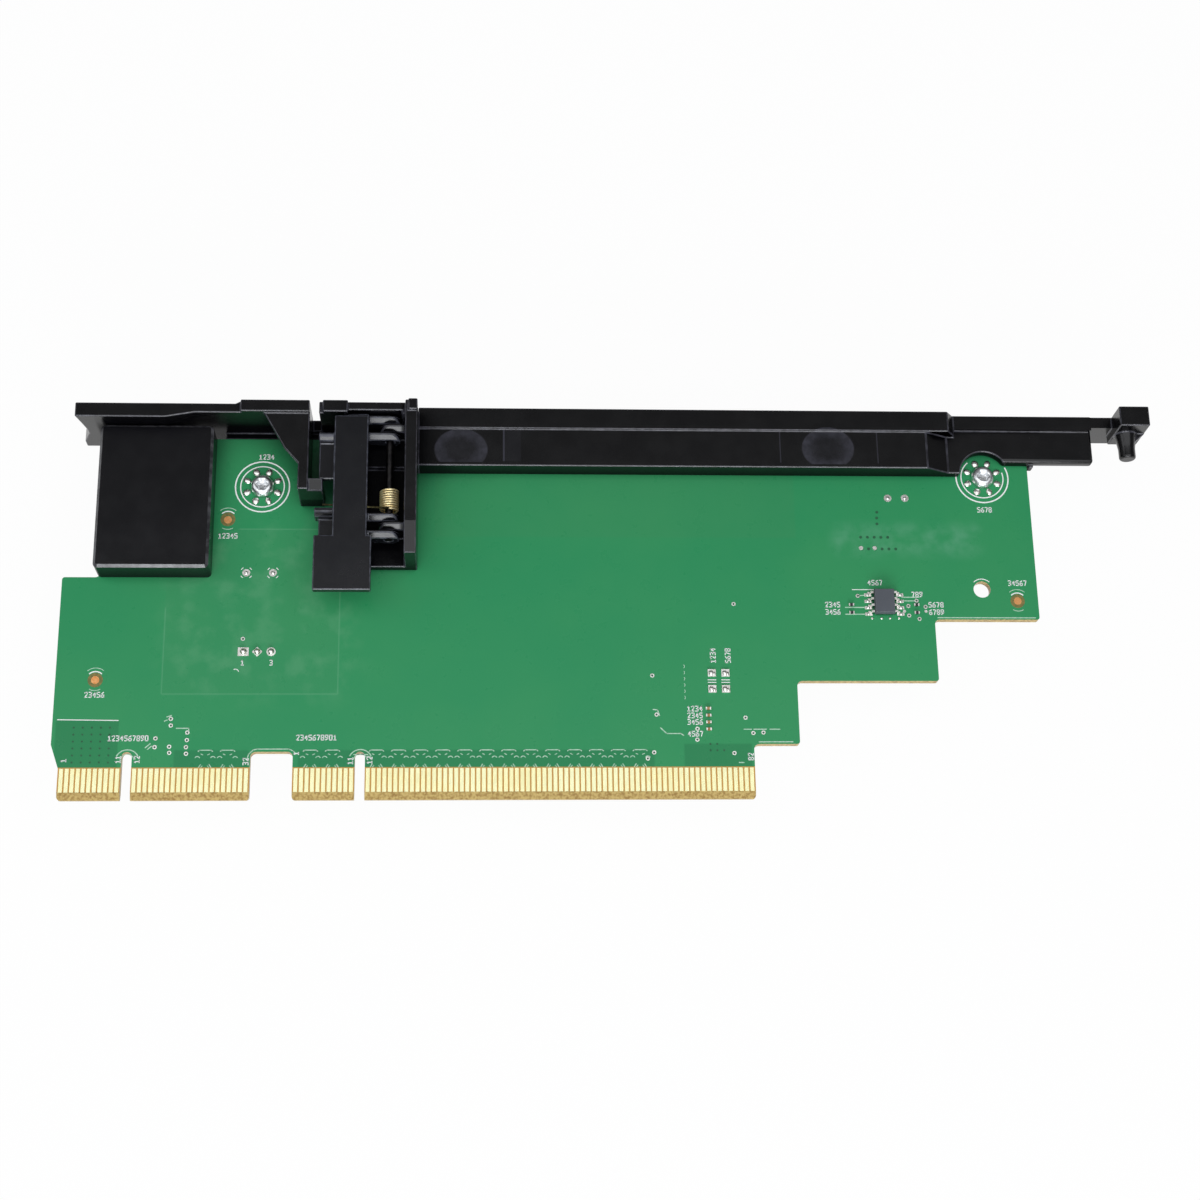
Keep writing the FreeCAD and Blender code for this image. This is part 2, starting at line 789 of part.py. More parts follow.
def add_bar(body):
    """Open channel over the board's top edge, its ramp and the lower strip."""
    along_x(body, "bar", "housing_right", "bar_right", [
        ("bar_near", "back_face"),
        ("bar_near", "bar_top"),
        ("bar_step", "bar_top"),
        ("bar_step", "strip_top"),
        ("bar_outer", "strip_top"),
        ("bar_outer", "front_face"),
        ("wall_face", "front_face"),
        ("wall_face", "bar_top - bar_skin"),
        ("bar_near + bar_skin", "bar_top - bar_skin"),
        ("bar_near + bar_skin", "back_face"),
    ])
    across_y(body, "ramp", "bar_near", "bar_step", [
        ("bar_right", "back_face"),
        ("bar_right", "bar_top"),
        ("ramp_end", "low_top"),
        ("ramp_end", "back_face"),
    ])
    across_y(body, "strip_end", "bar_step", "bar_outer", [
        ("bar_right", "front_face"),
        ("bar_right", "strip_top"),
        ("ramp_end", "strip_top"),
        ("ramp_end + strip_step", "low_strip_top"),
        ("ramp_end + strip_step", "front_face"),
    ])
    room = sketch_on(body, "edge_room_outline", "XY", "back_face")
    draw_rectangle(room, "bar_right - 1", "bar_step - 1", "ramp_end + strip_step + 1", "wall_face")
    pocket(body, "edge_room", room, "front_drop + 1")
    along_x(body, "low_strip", "ramp_end", "low_right", [
        ("low_near", "back_face"),
        ("low_near", "low_top"),
        ("low_step", "low_top"),
        ("low_step", "low_strip_top"),
        ("bar_outer", "low_strip_top"),
        ("bar_outer", "front_face"),
        ("wall_face", "front_face"),
        ("wall_face", "back_face"),
    ])
    block(body, "low_corner", "back_face", "low_top",
          "ramp_end", "bar_near", "right_screw_x", "low_near + 1")
    gap = sketch_on(body, "screw_gap_circle", "XY", "low_top")
    draw_circle(gap, "right_screw_x", "right_screw_y", "cutout_round")
    pocket(body, "screw_gap", gap, "low_high")
    near = size("low_near")
    screw = size("right_screw_x")
    top = size("low_top")
    round_edges(body, "low_rim", "low_round", lambda edge: here(edge).x > screw
                and abs(here(edge).y - near) < 0.01 and (upright(edge) or abs(here(edge).z - top) < 0.01))
    block(body, "corner_hook", "back_face - hook_drop", "back_face + low_high / 2", "board_wide + hook_gap",
          "low_near - hook_long", "board_wide + hook_gap + hook_wide", "low_near + 1")


def add_end_block(body):
    """Neck, end block, guide peg with its cone shaped root and the web between them."""
    block(body, "neck", "front_face", "back_face + neck_high",
          "low_right", "wall_face", "peg_x", "bar_outer")
    block(body, "end_block", "back_face - block_low", "back_face + block_high",
          "block_left", "block_near", "block_right", "bar_outer")
    plate(body, "web", "back_face + peg_z", "back_face + peg_z + web_thick", [
        ("peg_x", "block_near - web_long"),
        ("block_right", "block_near"),
        ("block_right", "block_near + 1"),
        ("peg_x", "block_near + 1"),
    ])
    half = sketch_on(body, "peg_half_outline", "XY", "back_face + peg_z")
    tie(half, "AttachmentOffset.Base.x", "peg_x")
    draw_outline(half, [
        ("0", "block_near - peg_long"),
        ("peg_round", "block_near - peg_long"),
        ("peg_round", "block_near - web_long"),
        ("peg_root", "block_near"),
        ("peg_root", "block_near + 1"),
        ("0", "block_near + 1"),
    ])
    peg = body.newObject("PartDesign::Revolution", "peg")
    peg.Profile = half
    peg.ReferenceAxis = (half, ["V_Axis"])
    peg.Angle = 360
    tip = size("block_near") - size("peg_long")
    round_edges(body, "peg_tip", "peg_tip_round", lambda edge: abs(here(edge).y - tip) < 0.01)


def add_lugs(body):
    """Lugs on the board's front face, with the holes that the screws bite into."""
    for side, face in (("left", "inner_face"), ("right", "wall_face")):
        x = side + "_screw_x"
        y = side + "_screw_y"
        block(body, side + "_lug", "front_face", "slot_high",
              x + " - lug_round", y, x + " + lug_round", face + " + 0.5")
        nose = sketch_on(body, side + "_lug_circle", "XY", "front_face")
        draw_circle(nose, x, y, "lug_round")
        pad(body, side + "_lug_end", nose, "slot_high - front_face")
    holes = sketch_on(body, "lug_hole_circles", "XY", "slot_high")
    draw_circle(holes, "left_screw_x", "left_screw_y", "screw_shank / 2")
    draw_circle(holes, "right_screw_x", "right_screw_y", "screw_shank / 2")
    pocket(body, "lug_holes", holes, "slot_high - front_face")


def make_bracket():
    body = new_body("bracket")
    add_left_wall(body)
    add_arm(body)
    add_housing(body)
    add_bar(body)
    add_end_block(body)
    add_lugs(body)
    return body


# Latch lever: panel, foot, side shelf and four knuckles on the pin
def make_lever():
    body = new_body("latch_lever")
    block(body, "panel", "lever_low", "lever_top", "lever_left", "foot_far - 1", "lever_right", "lever_far")
    block(body, "foot", "lever_low", "lever_top", "foot_left", "foot_near", "foot_right", "foot_far")
    block(body, "near_cheek", "waist_top - shelf_thick", "lever_top",
          "lever_left", "foot_far - 1", "cheek_right", "tab_far")
    block(body, "far_cheek", "shelf_top - shelf_thick", "lever_top",
          "lever_left", "shelf_near", "cheek_right", "shelf_far")
    block(body, "shelf", "shelf_top - shelf_thick", "shelf_top",
          "shelf_left", "shelf_near", "cheek_right", "shelf_far")
    block(body, "shelf_edge", "shelf_top - shelf_rib / 2", "shelf_top + shelf_rib_up",
          "shelf_left", "shelf_far - shelf_rib", "cheek_right", "shelf_far")
    along_x(body, "shelf_slope", "shelf_left - 1", "lever_left",
            slope_corners("(shelf_far - shelf_rib)", "(shelf_top + shelf_rib_up)", "shelf_slope"), True)
    block(body, "waist", "waist_top - shelf_thick", "waist_top",
          "waist_left", "foot_far - 1", "cheek_right", "tab_far")
    block(body, "tab", "waist_top - shelf_thick", "tab_top",
          "tab_left", "tab_near", "cheek_right", "tab_far")
    along_x(body, "tab_slope", "tab_left - 1", "lever_left",
            slope_corners("tab_near", "tab_top", "tab_slope"), True)
    block(body, "foot_web", "waist_top - shelf_thick", "lever_low + lever_thick / 2",
          "waist_left", "foot_far - 1", "cheek_right", "foot_far")
    for name, near in (
        ("first", "(lower_ear - knuckle_out)"),
        ("second", "(lower_ear + knuckle_out - knuckle_thick)"),
        ("third", "(upper_ear - knuckle_out)"),
        ("fourth", "(upper_ear + knuckle_out - knuckle_thick)"),
    ):
        across_y(body, name + "_arm", near, near + " + knuckle_thick", [
            ("lever_right - arm_root", "lever_low + 0.2"),
            ("lever_right - arm_root", "hinge_height"),
            ("hinge_x", "hinge_height - knuckle_round"),
            ("hinge_x", "knuckle_top"),
            ("lever_right", "knuckle_top"),
            ("lever_right", "lever_low + 0.2"),
        ])
        round_end = sketch_on(body, name + "_knuckle_circle", "XZ", "-" + near)
        draw_circle(round_end, "hinge_x", "hinge_height", "knuckle_round")
        pad(body, name + "_knuckle", round_end, "knuckle_thick", True)
        along_x(body, name + "_slope", "lever_right", "hinge_x + knuckle_round + 1",
                slope_corners(near, "knuckle_top", "ear_slope"), True)
    bore = sketch_on(body, "knuckle_bore_circle", "XZ", "-foot_near")
    draw_circle(bore, "hinge_x", "hinge_height", "pin_round + pin_clearance")
    pocket(body, "knuckle_bore", bore, "lever_far - foot_near + 10")
    return body


def make_hinge_pin():
    """Steel pin through both ears and all four knuckles."""
    pin = doc.addObject("Part::Cylinder", "hinge_pin")
    pin.Label = "hinge_pin"
    tie(pin, "Radius", "pin_round")
    tie(pin, "Height", "ears_apart + 2 * knuckle_out")
    pin.Placement.Rotation = FreeCAD.Rotation(FreeCAD.Vector(1, 0, 0), -90)
    tie(pin, "Placement.Base.x", "hinge_x - middle_x")
    tie(pin, "Placement.Base.y", "lower_ear - knuckle_out - middle_y")
    tie(pin, "Placement.Base.z", "hinge_height")
    return pin


def swept(points, radius, sides=6):
    """A bar with flat sides along straight runs, mitred where they meet."""
    direction = (points[1] - points[0]).normalize()
    across = direction.cross(FreeCAD.Vector(0, 1, 0)).normalize()
    upward = direction.cross(across)
    ring = []
    for number in range(sides + 1):
        turn = 2 * math.pi * (number % sides) / sides
        ring.append(points[0] + across * (radius * math.cos(turn)) + upward * (radius * math.sin(turn)))
    path = Part.makePolygon(points)
    return path.makePipeShell([Part.makePolygon(ring)], True, False, 1)


def make_spring():
    """Torsion spring on the pin: a coil of short chords with one leg each way."""
    wire = size("spring_wire")
    ring = size("spring_round")
    steps = 10
    start = size("lower_ear") + size("knuckle_out") + size("spring_gap")
    x = size("hinge_x")
    z = size("hinge_height")
    under_lever = size("lever_low") - wire
    on_floor = size("back_face") + size("floor_thick") + wire
    points = [FreeCAD.Vector(size("spring_leg_end"), start + size("spring_leg_up"), under_lever)]
    for number in range(int(size("spring_turns")) * steps + steps // 4 + 1):
        turn = 2 * math.pi * number / steps
        rise = start + size("spring_pitch") * number / steps
        points.append(FreeCAD.Vector(x + ring * math.sin(turn), rise, z + ring * math.cos(turn)))
    points.append(FreeCAD.Vector(x + ring, points[-1].y + wire, on_floor))
    return solids_piece("torsion_spring", [swept(points, wire)])


# Pieces that carry or join
def make_cover():
    """Low cover block that fills the corner behind the hooked end."""
    body = new_body("cover_block")
    top = "back_face + cover_high"
    block(body, "cover", "back_face", top, "cover_left", "cover_near", "cover_right", "cover_far")
    level = size("back_face") + size("cover_high")
    round_edges(body, "cover_rim", "cover_round", lambda edge: upright(edge) or here(edge).z > level - 0.01)
    return body


def make_screw(name, x, y):
    """Pan head screw with a hexagonal drive, its head on the board's back."""
    body = new_body(name)
    tie(body, "Placement.Base.x", x + " - middle_x")
    tie(body, "Placement.Base.y", y + " - middle_y")
    tie(body, "Placement.Base.z", "back_face")
    half = sketch_on(body, "half_outline", "XZ")
    draw_outline(half, [
        ("0", "-screw_long"),
        ("screw_shank / 2", "-screw_long"),
        ("screw_shank / 2", "0"),
        ("screw_head / 2", "0"),
        ("screw_head / 2", "screw_head_high * 0.5"),
        ("screw_head * 0.32", "screw_head_high"),
        ("0", "screw_head_high"),
    ])
    turned = body.newObject("PartDesign::Revolution", "turned")
    turned.Profile = half
    turned.ReferenceAxis = (half, ["V_Axis"])
    turned.Angle = 360
    drive = sketch_on(body, "drive_outline", "XY", "screw_head_high")
    corners = []
    for number in range(6):
        turn = math.pi * number / 3
        corners.append(tuple("screw_drive / 2 * %.6f" % part for part in (math.cos(turn), math.sin(turn))))
    draw_outline(drive, corners)
    pocket(body, "drive", drive, "screw_drive_deep")
    return body


def make_slot():
    """Long card slot on the board's front face, its mouth split by the key."""
    body = new_body("slot_housing")
    low = "slot_y - slot_wide / 2"
    high = "slot_y + slot_wide / 2"
    block(body, "housing", "0", "slot_high", "slot_x - slot_long / 2", low, "slot_x + slot_long / 2", high)
    mouth = sketch_on(body, "mouth_outline", "XY", "0")
    start = "(slot_x - slot_long / 2 + mouth_end)"
    key = "(%s + pad_pitch * pads_before_key + mouth_spare)" % start
    sides = ("slot_y - mouth_wide / 2", "slot_y + mouth_wide / 2")
    draw_rectangle(mouth, start, sides[0], key, sides[1])
    draw_rectangle(mouth, key + " + slot_key", sides[0],
                   key + " + slot_key + pad_pitch * long_edge_pads + mouth_spare", sides[1])
    pocket(body, "mouth", mouth, "mouth_deep", True)
    rim = sketch_on(body, "rim_outline", "YZ", "slot_x - slot_long / 2 + mouth_end")
    draw_outline(rim, [
        ("slot_y - mouth_wide / 2 - rim_wide", "-rim_wide"),
        ("slot_y + mouth_wide / 2 + rim_wide", "-rim_wide"),
        ("slot_y + mouth_wide / 2 + rim_wide", "0"),
        ("slot_y + mouth_wide / 2", "rim_wide"),
        ("slot_y - mouth_wide / 2", "rim_wide"),
        ("slot_y - mouth_wide / 2 - rim_wide", "0"),
    ])
    pocket(body, "rim", rim, "slot_long - 2 * mouth_end", True)
    return body


def make_contacts():
    """Spring contacts down both walls of the slot's mouth, one for each pad."""
    start = size("slot_x") - size("slot_long") / 2 + size("mouth_end")
    spare = size("mouth_spare")
    pitch = size("pad_pitch")
    before = int(size("pads_before_key"))
    key = start + pitch * before + spare + size("slot_key")
    places = [start + spare / 2 + pitch * (number + 0.5) for number in range(before)]
    places += [key + spare / 2 + pitch * (number + 0.5) for number in range(int(size("long_edge_pads")))]
    wide = size("contact_wide")
    thick = size("contact_thick")
    deep = size("mouth_deep")
    low = 2 * size("rim_wide")
    solids = []
    for x in places:
        for side in (-1, 1):
            wall = size("slot_y") + side * size("mouth_wide") / 2
            near = wall - thick if side > 0 else wall
            corner = FreeCAD.Vector(x - wide / 2, near, low)
            solids.append(Part.makeBox(wide, thick, deep - low, corner))
    return solids_piece("slot_contacts", solids)


def make_header():
    """Three pin header on the front face: block, pins through the board and their solder."""
    pitch = size("header_pitch")
    wide = size("pin_wide")
    front = size("slot_high")
    back = front + size("board_thick")
    low = front - size("header_high")
    y = size("header_y")
    places = [size("header_x") + pitch * number for number in (-1, 0, 1)]
    pins = []
    joints = []
    for x in places:
        corner = FreeCAD.Vector(x - wide / 2, y - wide / 2, low - size("pin_long"))
        pin = Part.makeBox(wide, wide, back + size("pin_tail") - corner.z, corner)
        pins.append(pin)
        foot = FreeCAD.Vector(x, y, back)
        cone = Part.makeCone(size("joint_round"), wide * 0.75, size("joint_high"), foot)
        joints.append(cone.cut(pin))
    length = pitch * len(places)
    corner = FreeCAD.Vector(size("header_x") - length / 2, y - size("header_wide") / 2, low)
    housing = Part.makeBox(length, size("header_wide"), size("header_high"), corner)
    solids_piece("header_block", [housing.cut(pins)])
    solids_piece("header_pins", pins)
    solids_piece("header_solder", joints)


# Small parts on the back
def make_chip():
    """Eight lead chip: bevelled body and gull wing leads."""
    back = size("back_face")
    x = size("chip_x")
    y = size("chip_y")
    low = back + size("chip_stand")
    wide = size("chip_wide")
    tall = size("chip_tall")
    middle = low + (size("chip_high") - size("chip_stand")) / 2
    inset = size("chip_bevel")
    layers = []
    for level, less in ((low, inset), (middle, 0), (back + size("chip_high"), inset)):
        corner = FreeCAD.Vector(x - wide / 2 + less, y - tall / 2 + less, level)
        layers.append(rectangle_wire(corner, wide - 2 * less, tall - 2 * less))
    lower = Part.makeLoft(layers[:2], True, True)
    upper = Part.makeLoft(layers[1:], True, True)
    solids_piece("chip_body", [lower.fuse(upper).removeSplitter()])
    thick = size("lead_thick")
    reach = wide / 2 + size("lead_reach")
    knee = reach - size("lead_foot")
    leads = []
    for side in (-1, 1):
        shoulder = middle - back
        profile = [
            (reach, 0),
            (knee, 0),
            (knee - thick, shoulder - thick),
            (wide / 2, shoulder - thick),
            (wide / 2, shoulder),
            (knee, shoulder),
            (knee + thick, thick),
            (reach, thick),
        ]
        for number in range(4):
            near = y + (number - 1.5) * size("lead_pitch") - size("lead_wide") / 2
            corners = [FreeCAD.Vector(x + side * across, near, back + up) for across, up in profile]
            face = Part.Face(Part.makePolygon(corners + corners[:1]))
            leads.append(face.extrude(FreeCAD.Vector(0, size("lead_wide"), 0)))
    solids_piece("chip_leads", leads)


def rectangle_wire(corner, wide, tall):
    x, y, z = corner
    points = [(x, y, z), (x + wide, y, z), (x + wide, y + tall, z), (x, y + tall, z), (x, y, z)]
    return Part.makePolygon([FreeCAD.Vector(*point) for point in points])


def two_ended(x, y, long, wide, high):
    """A chip resistor's or capacitor's middle and its two metal ends."""
    back = size("back_face")
    end = long * size("end_share")
    pieces = []
    for start, length in ((-long / 2, end), (-long / 2 + end, long - 2 * end), (long / 2 - end, end)):
        pieces.append(Part.makeBox(length, wide, high, FreeCAD.Vector(x + start, y - wide / 2, back)))
    return pieces[1], [pieces[0], pieces[2]]


def make_passives():
    """Small two-ended parts: four beside the chip and a column of four near the fingers."""
    small = (size("small_long"), size("small_wide"), size("small_high"))
    groups = {"resistors": [], "capacitors": []}
    for side in (-1, 1):
        for row in (-0.5, 0.5):
            x = size("chip_x") + side * size("resistor_reach")
            y = size("resistor_y") + row * size("resistor_apart")
            groups["resistors"].append(two_ended(x, y, *small))
    for row in range(4):
        y = size("column_y") + row * size("column_apart")
        groups["capacitors"].append(two_ended(size("column_x"), y, *small))
    for name, parts in groups.items():
        solids_piece(name, [part[0] for part in parts])
        solids_piece(name[:-1] + "_ends", [end for part in parts for end in part[1]])


def make_spare_pads():
    """Tinned pads of two places where no part is fitted."""
    wide = size("spare_wide")
    tall = size("spare_tall")
    bumps = []
    for side in (-0.5, 0.5):
        for end in (-0.5, 0.5):
            x = size("spare_x") + side * size("spare_apart") - wide / 2
            y = size("spare_y") + end * size("spare_gap") - tall / 2
            corner = FreeCAD.Vector(x, y, size("back_face"))
            bumps.append(Part.makeBox(wide, tall, size("spare_high"), corner))
    return solids_piece("spare_pads", bumps)


def make_discs(name, places, radius, high):
    """Low round pads on the back: tinned dots, reference marks and test pads."""
    back = size("back_face")
    solids = [Part.makeCylinder(radius, high, FreeCAD.Vector(x, y, back)) for x, y in places]
    return solids_piece(name, solids)


def make_marks():
    for side in ("left", "right"):
        places = []
        for number in range(8):
            turn = math.pi * number / 4 + math.pi / 8
            x = size(side + "_screw_x") + size("dot_ring") * math.cos(turn)
            y = size(side + "_screw_y") + size("dot_ring") * math.sin(turn)
            places.append((x, y))
        make_discs(side + "_screw_dots", places, size("dot_round"), size("dot_high"))
    marks = [(size("mark_%s_x" % name), size("mark_%s_y" % name)) for name in ("one", "two", "three")]
    make_discs("reference_marks", marks, size("mark_round"), size("pad_thick"))


make_board()
make_pads("short_edge_pads_gold", SHORT_PADS)
make_pads("long_edge_pads_gold", LONG_PADS)
make_bracket()
make_lever()
make_hinge_pin()
make_spring()
make_cover()
make_screw("left_screw", "left_screw_x", "left_screw_y")
make_screw("right_screw", "right_screw_x", "right_screw_y")
make_slot()
make_contacts()
make_header()
make_chip()
make_passives()
make_spare_pads()
make_marks()
doc.recompute()

for thing in doc.Objects:
    if {"Invalid", "Error"} & set(thing.State):
        raise RuntimeError("%s is %s" % (thing.Name, thing.State))
PIECES = [thing for thing in doc.Objects
          if thing.TypeId in ("PartDesign::Body", "Part::Feature", "Part::Cylinder")]
for piece in PIECES:
    if piece.Shape.isNull() or not piece.Shape.isValid():
        raise RuntimeError("no sound shape in " + piece.Label)
    for solid in piece.Shape.Solids:
        if solid.Volume <= 0:
            raise RuntimeError("an empty solid in " + piece.Label)

os.makedirs("parts", exist_ok=True)
for piece in PIECES:
    piece.Shape.exportStep("parts/%s.step" % piece.Label)
    box = piece.Shape.BoundBox
    print("%-22s solids %3d  volume %9.2f  x %.2f %.2f  y %.2f %.2f  z %.2f %.2f" % (
        piece.Label, len(piece.Shape.Solids), piece.Shape.Volume,
        box.XMin, box.XMax, box.YMin, box.YMax, box.ZMin, box.ZMax))
print("pieces", len(PIECES))
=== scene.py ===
# %% [markdown]
# # A card riser with a sprung latch
#
# The object is a stepped printed board, seen on its back.
# Gold fingers run along its bottom, and a black moulded bracket wraps its top.
# The CAD model gives every solid its place and size.
# This script adds what a solid lacks: finishes, rounded edges, print and small parts.


# %% Load the frame
import math

import bmesh
import bpy
from mathutils import Euler, Matrix, Vector
from mathutils.bvhtree import BVHTree


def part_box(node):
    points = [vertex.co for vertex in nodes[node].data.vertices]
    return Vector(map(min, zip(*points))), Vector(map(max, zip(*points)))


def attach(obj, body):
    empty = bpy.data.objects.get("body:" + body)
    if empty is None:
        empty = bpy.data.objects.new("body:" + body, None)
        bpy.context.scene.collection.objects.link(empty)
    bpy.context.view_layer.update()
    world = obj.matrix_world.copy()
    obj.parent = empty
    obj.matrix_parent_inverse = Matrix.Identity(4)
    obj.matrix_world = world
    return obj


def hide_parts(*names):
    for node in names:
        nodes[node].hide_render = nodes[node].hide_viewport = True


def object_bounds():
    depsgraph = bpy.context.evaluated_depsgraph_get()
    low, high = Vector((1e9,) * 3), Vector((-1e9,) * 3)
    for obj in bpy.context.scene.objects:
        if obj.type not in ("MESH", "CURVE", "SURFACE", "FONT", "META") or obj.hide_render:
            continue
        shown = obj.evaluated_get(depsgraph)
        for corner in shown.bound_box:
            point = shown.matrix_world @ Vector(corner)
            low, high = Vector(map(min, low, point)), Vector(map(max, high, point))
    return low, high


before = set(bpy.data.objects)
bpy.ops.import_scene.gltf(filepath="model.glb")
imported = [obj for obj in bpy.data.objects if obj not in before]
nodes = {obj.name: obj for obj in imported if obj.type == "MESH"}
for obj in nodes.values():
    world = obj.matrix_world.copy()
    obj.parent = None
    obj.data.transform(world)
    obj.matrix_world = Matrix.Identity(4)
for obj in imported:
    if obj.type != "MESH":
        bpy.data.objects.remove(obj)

cad_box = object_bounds()
print("CAD nodes:", sorted(nodes))


# %% [markdown]
# Sizes on a printed board are given from its lower left corner, in millimetres.
# Blender works in metres, in the frame of the CAD model.
# One helper turns the first into the second, so the rest of the lesson reads like a drawing.


# %% Millimetres on the board
MM = 0.001
board_low, board_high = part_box("board")


def on_board(x, y, up=0.0):
    """A point so many millimetres right, up the board, and out from its back face."""
    return Vector((board_low.x + x * MM, board_low.y + y * MM, board_high.z + up * MM))


print("board corner:", tuple(round(v, 5) for v in on_board(0, 0)))


# %% [markdown]
# ## Camera
#
# The photograph was taken from above, a little below the middle of the board.
# The lines of the board give the tilt, and the lens follows from how fast they close in.


# %% Camera
eye = bpy.data.cameras.new("eye")
eye.sensor_width = 36.0
eye.lens = 64.571
eye.clip_start = 0.01
eye.clip_end = 20.0
camera = bpy.data.objects.new("camera", eye)
camera.location = (-0.026515, -0.129495, 0.393744)
camera.rotation_euler = Euler([math.radians(turn) for turn in (18.874, -3.207, -0.937)])
bpy.context.scene.collection.objects.link(camera)
bpy.context.scene.camera = camera


# %% [markdown]
# ## Nodes in a few words
#
# A finish is a small graph of nodes.
# It could be clicked together in the editor, but a helper that adds one node
# and fills its sockets keeps each graph as short as a recipe.
# Every pattern reads Object coordinates, so it stays on the piece when it moves.


# %% Node helpers
def ink(red, green, blue):
    """A colour as a screen shows it, 0 to 255, turned into the light that a shader wants."""
    light = [((c / 255 + 0.055) / 1.055) ** 2.4 if c > 10 else c / 255 / 12.92 for c in (red, green, blue)]
    return (*light, 1.0)


def step(finish, kind, sockets=None, **settings):
    """Adds one node. A socket is filled by another node's output or by a plain value."""
    made = finish.node_tree.nodes.new(kind)
    for key, value in settings.items():
        setattr(made, key, value)
    for key, value in (sockets or {}).items():
        if isinstance(value, bpy.types.NodeSocket):
            finish.node_tree.links.new(value, made.inputs[key])
        else:
            made.inputs[key].default_value = value
    return made


def start_finish(name, colour, roughness, metallic=0.0, specular=0.5):
    """A new finish whose even values sit on the shader's own sockets."""
    finish = bpy.data.materials.new(name)
    finish.use_nodes = True
    shader = finish.node_tree.nodes["Principled BSDF"]
    shader.inputs["Base Color"].default_value = colour
    shader.inputs["Roughness"].default_value = roughness
    shader.inputs["Metallic"].default_value = metallic
    shader.inputs["Specular IOR Level"].default_value = specular
    finish.diffuse_color = colour
    return finish, shader


def feed(finish, output, shader, socket):
    """Links an output to one of the shader's sockets."""
    finish.node_tree.links.new(output, shader.inputs[socket])


def places(finish, stretch=None):
    """Object coordinates, stretched if the pattern runs one way."""
    spot = step(finish, "ShaderNodeTexCoord").outputs["Object"]
    if stretch:
        spot = step(finish, "ShaderNodeMapping", {"Vector": spot, "Scale": stretch}).outputs["Vector"]
    return spot


def clouds(finish, size, detail=3.0, stretch=None):
    """Soft noise with blotches about this many millimetres wide."""
    sockets = {"Vector": places(finish, stretch), "Scale": 1 / (size * MM), "Detail": detail}
    return step(finish, "ShaderNodeTexNoise", sockets).outputs[0]


def fade(finish, value, low, high, start=0.0, end=1.0):
    """A smooth climb from start to end as the value goes from low to high."""
    sockets = {"Value": value, "From Min": low, "From Max": high, "To Min": start, "To Max": end}
    return step(finish, "ShaderNodeMapRange", sockets, interpolation_type="SMOOTHSTEP").outputs[0]


def blend(finish, share, first, second):
    """The first colour where the share is 0, and the second where it is 1."""
    made = step(finish, "ShaderNodeMix", data_type="RGBA")
    for index, value in ((0, share), (6, first), (7, second)):
        if isinstance(value, bpy.types.NodeSocket):
            finish.node_tree.links.new(value, made.inputs[index])
        else:
            made.inputs[index].default_value = value
    return made.outputs[2]


def sums(finish, kind, first, second):
    """One sum on two values."""
    return step(finish, "ShaderNodeMath", {0: first, 1: second}, operation=kind).outputs[0]


def dents(finish, height, depth):
    """Turns a height into small dents and rises, so many millimetres deep."""
    sockets = {"Height": height, "Distance": depth * MM, "Strength": 1.0}
    return step(finish, "ShaderNodeBump", sockets).outputs["Normal"]


def patch(finish, spot, left, low, right, high, soft):
    """1 inside a rectangle of the board, in its own millimetres, and a soft fall outside it."""
    corner, other = on_board(left, low), on_board(right, high)
    centre, half = (corner + other) / 2, (other - corner) / 2
    half.z = 1.0
    away = step(finish, "ShaderNodeVectorMath", {0: spot, 1: centre}, operation="SUBTRACT").outputs[0]
    away = step(finish, "ShaderNodeVectorMath", {0: away}, operation="ABSOLUTE").outputs[0]
    away = step(finish, "ShaderNodeVectorMath", {0: away, 1: half}, operation="SUBTRACT").outputs[0]
    away = step(finish, "ShaderNodeVectorMath", {0: away, 1: (0, 0, 0)}, operation="MAXIMUM").outputs[0]
    far = step(finish, "ShaderNodeVectorMath", {0: away}, operation="LENGTH").outputs["Value"]
    return fade(finish, far, 0.0, soft * MM, 1.0, 0.0)


def oval(finish, spot, x, y, wide, tall):
    """0 at the middle of an oval of the board, 1 on its edge, and more outside."""
    away = step(finish, "ShaderNodeVectorMath", {0: spot, 1: on_board(x, y)}, operation="SUBTRACT").outputs[0]
    share = (2 / (wide * MM), 2 / (tall * MM), 0)
    away = step(finish, "ShaderNodeVectorMath", {0: away, 1: share}, operation="MULTIPLY").outputs[0]
    return step(finish, "ShaderNodeVectorMath", {0: away}, operation="LENGTH").outputs["Value"]


# %% [markdown]
# ## Black mouldings
#
# The bracket, the latch and the cover are moulded in black plastic.
# Up close such a skin is never one grey: it has a fine grain, dull patches from handling,
# and dust. Its edges are a little paler, partly from wear and partly as a painted highlight,
# so the rounded edges carry an attribute named worn, and the finish lightens there.
# Beside the green board the plastic would mirror too much green, so its mirror is weaker
# where other pieces stand close. Windows keep it strong where the real one is bright.


# %% Black plastic
HINGE_WINDOW = (38, 35, 62, 80, 3.8)
LEFT_WINDOW = (-30, 40, 5, 90, -9)
RIGHT_WINDOW = (186, 40, 230, 90, -9)
NO_WINDOW = (0, 0, 1, 1, 0)
BAR_LOW = 64.1
BAR_HIGH = 75
SCOOPS = ((73.65, 66.24), (143.56, 66.95))
SCOOP_WIDE = 9.6
SCOOP_TALL = 8.2
MOULD_LINES = ((81.6, 0.25, 0.8), (81.9, 3.0, 0.12), (134.3, 0.15, 0.5), (153.0, 0.15, 0.5))
MOULD_LINE_HIGH = 70.6


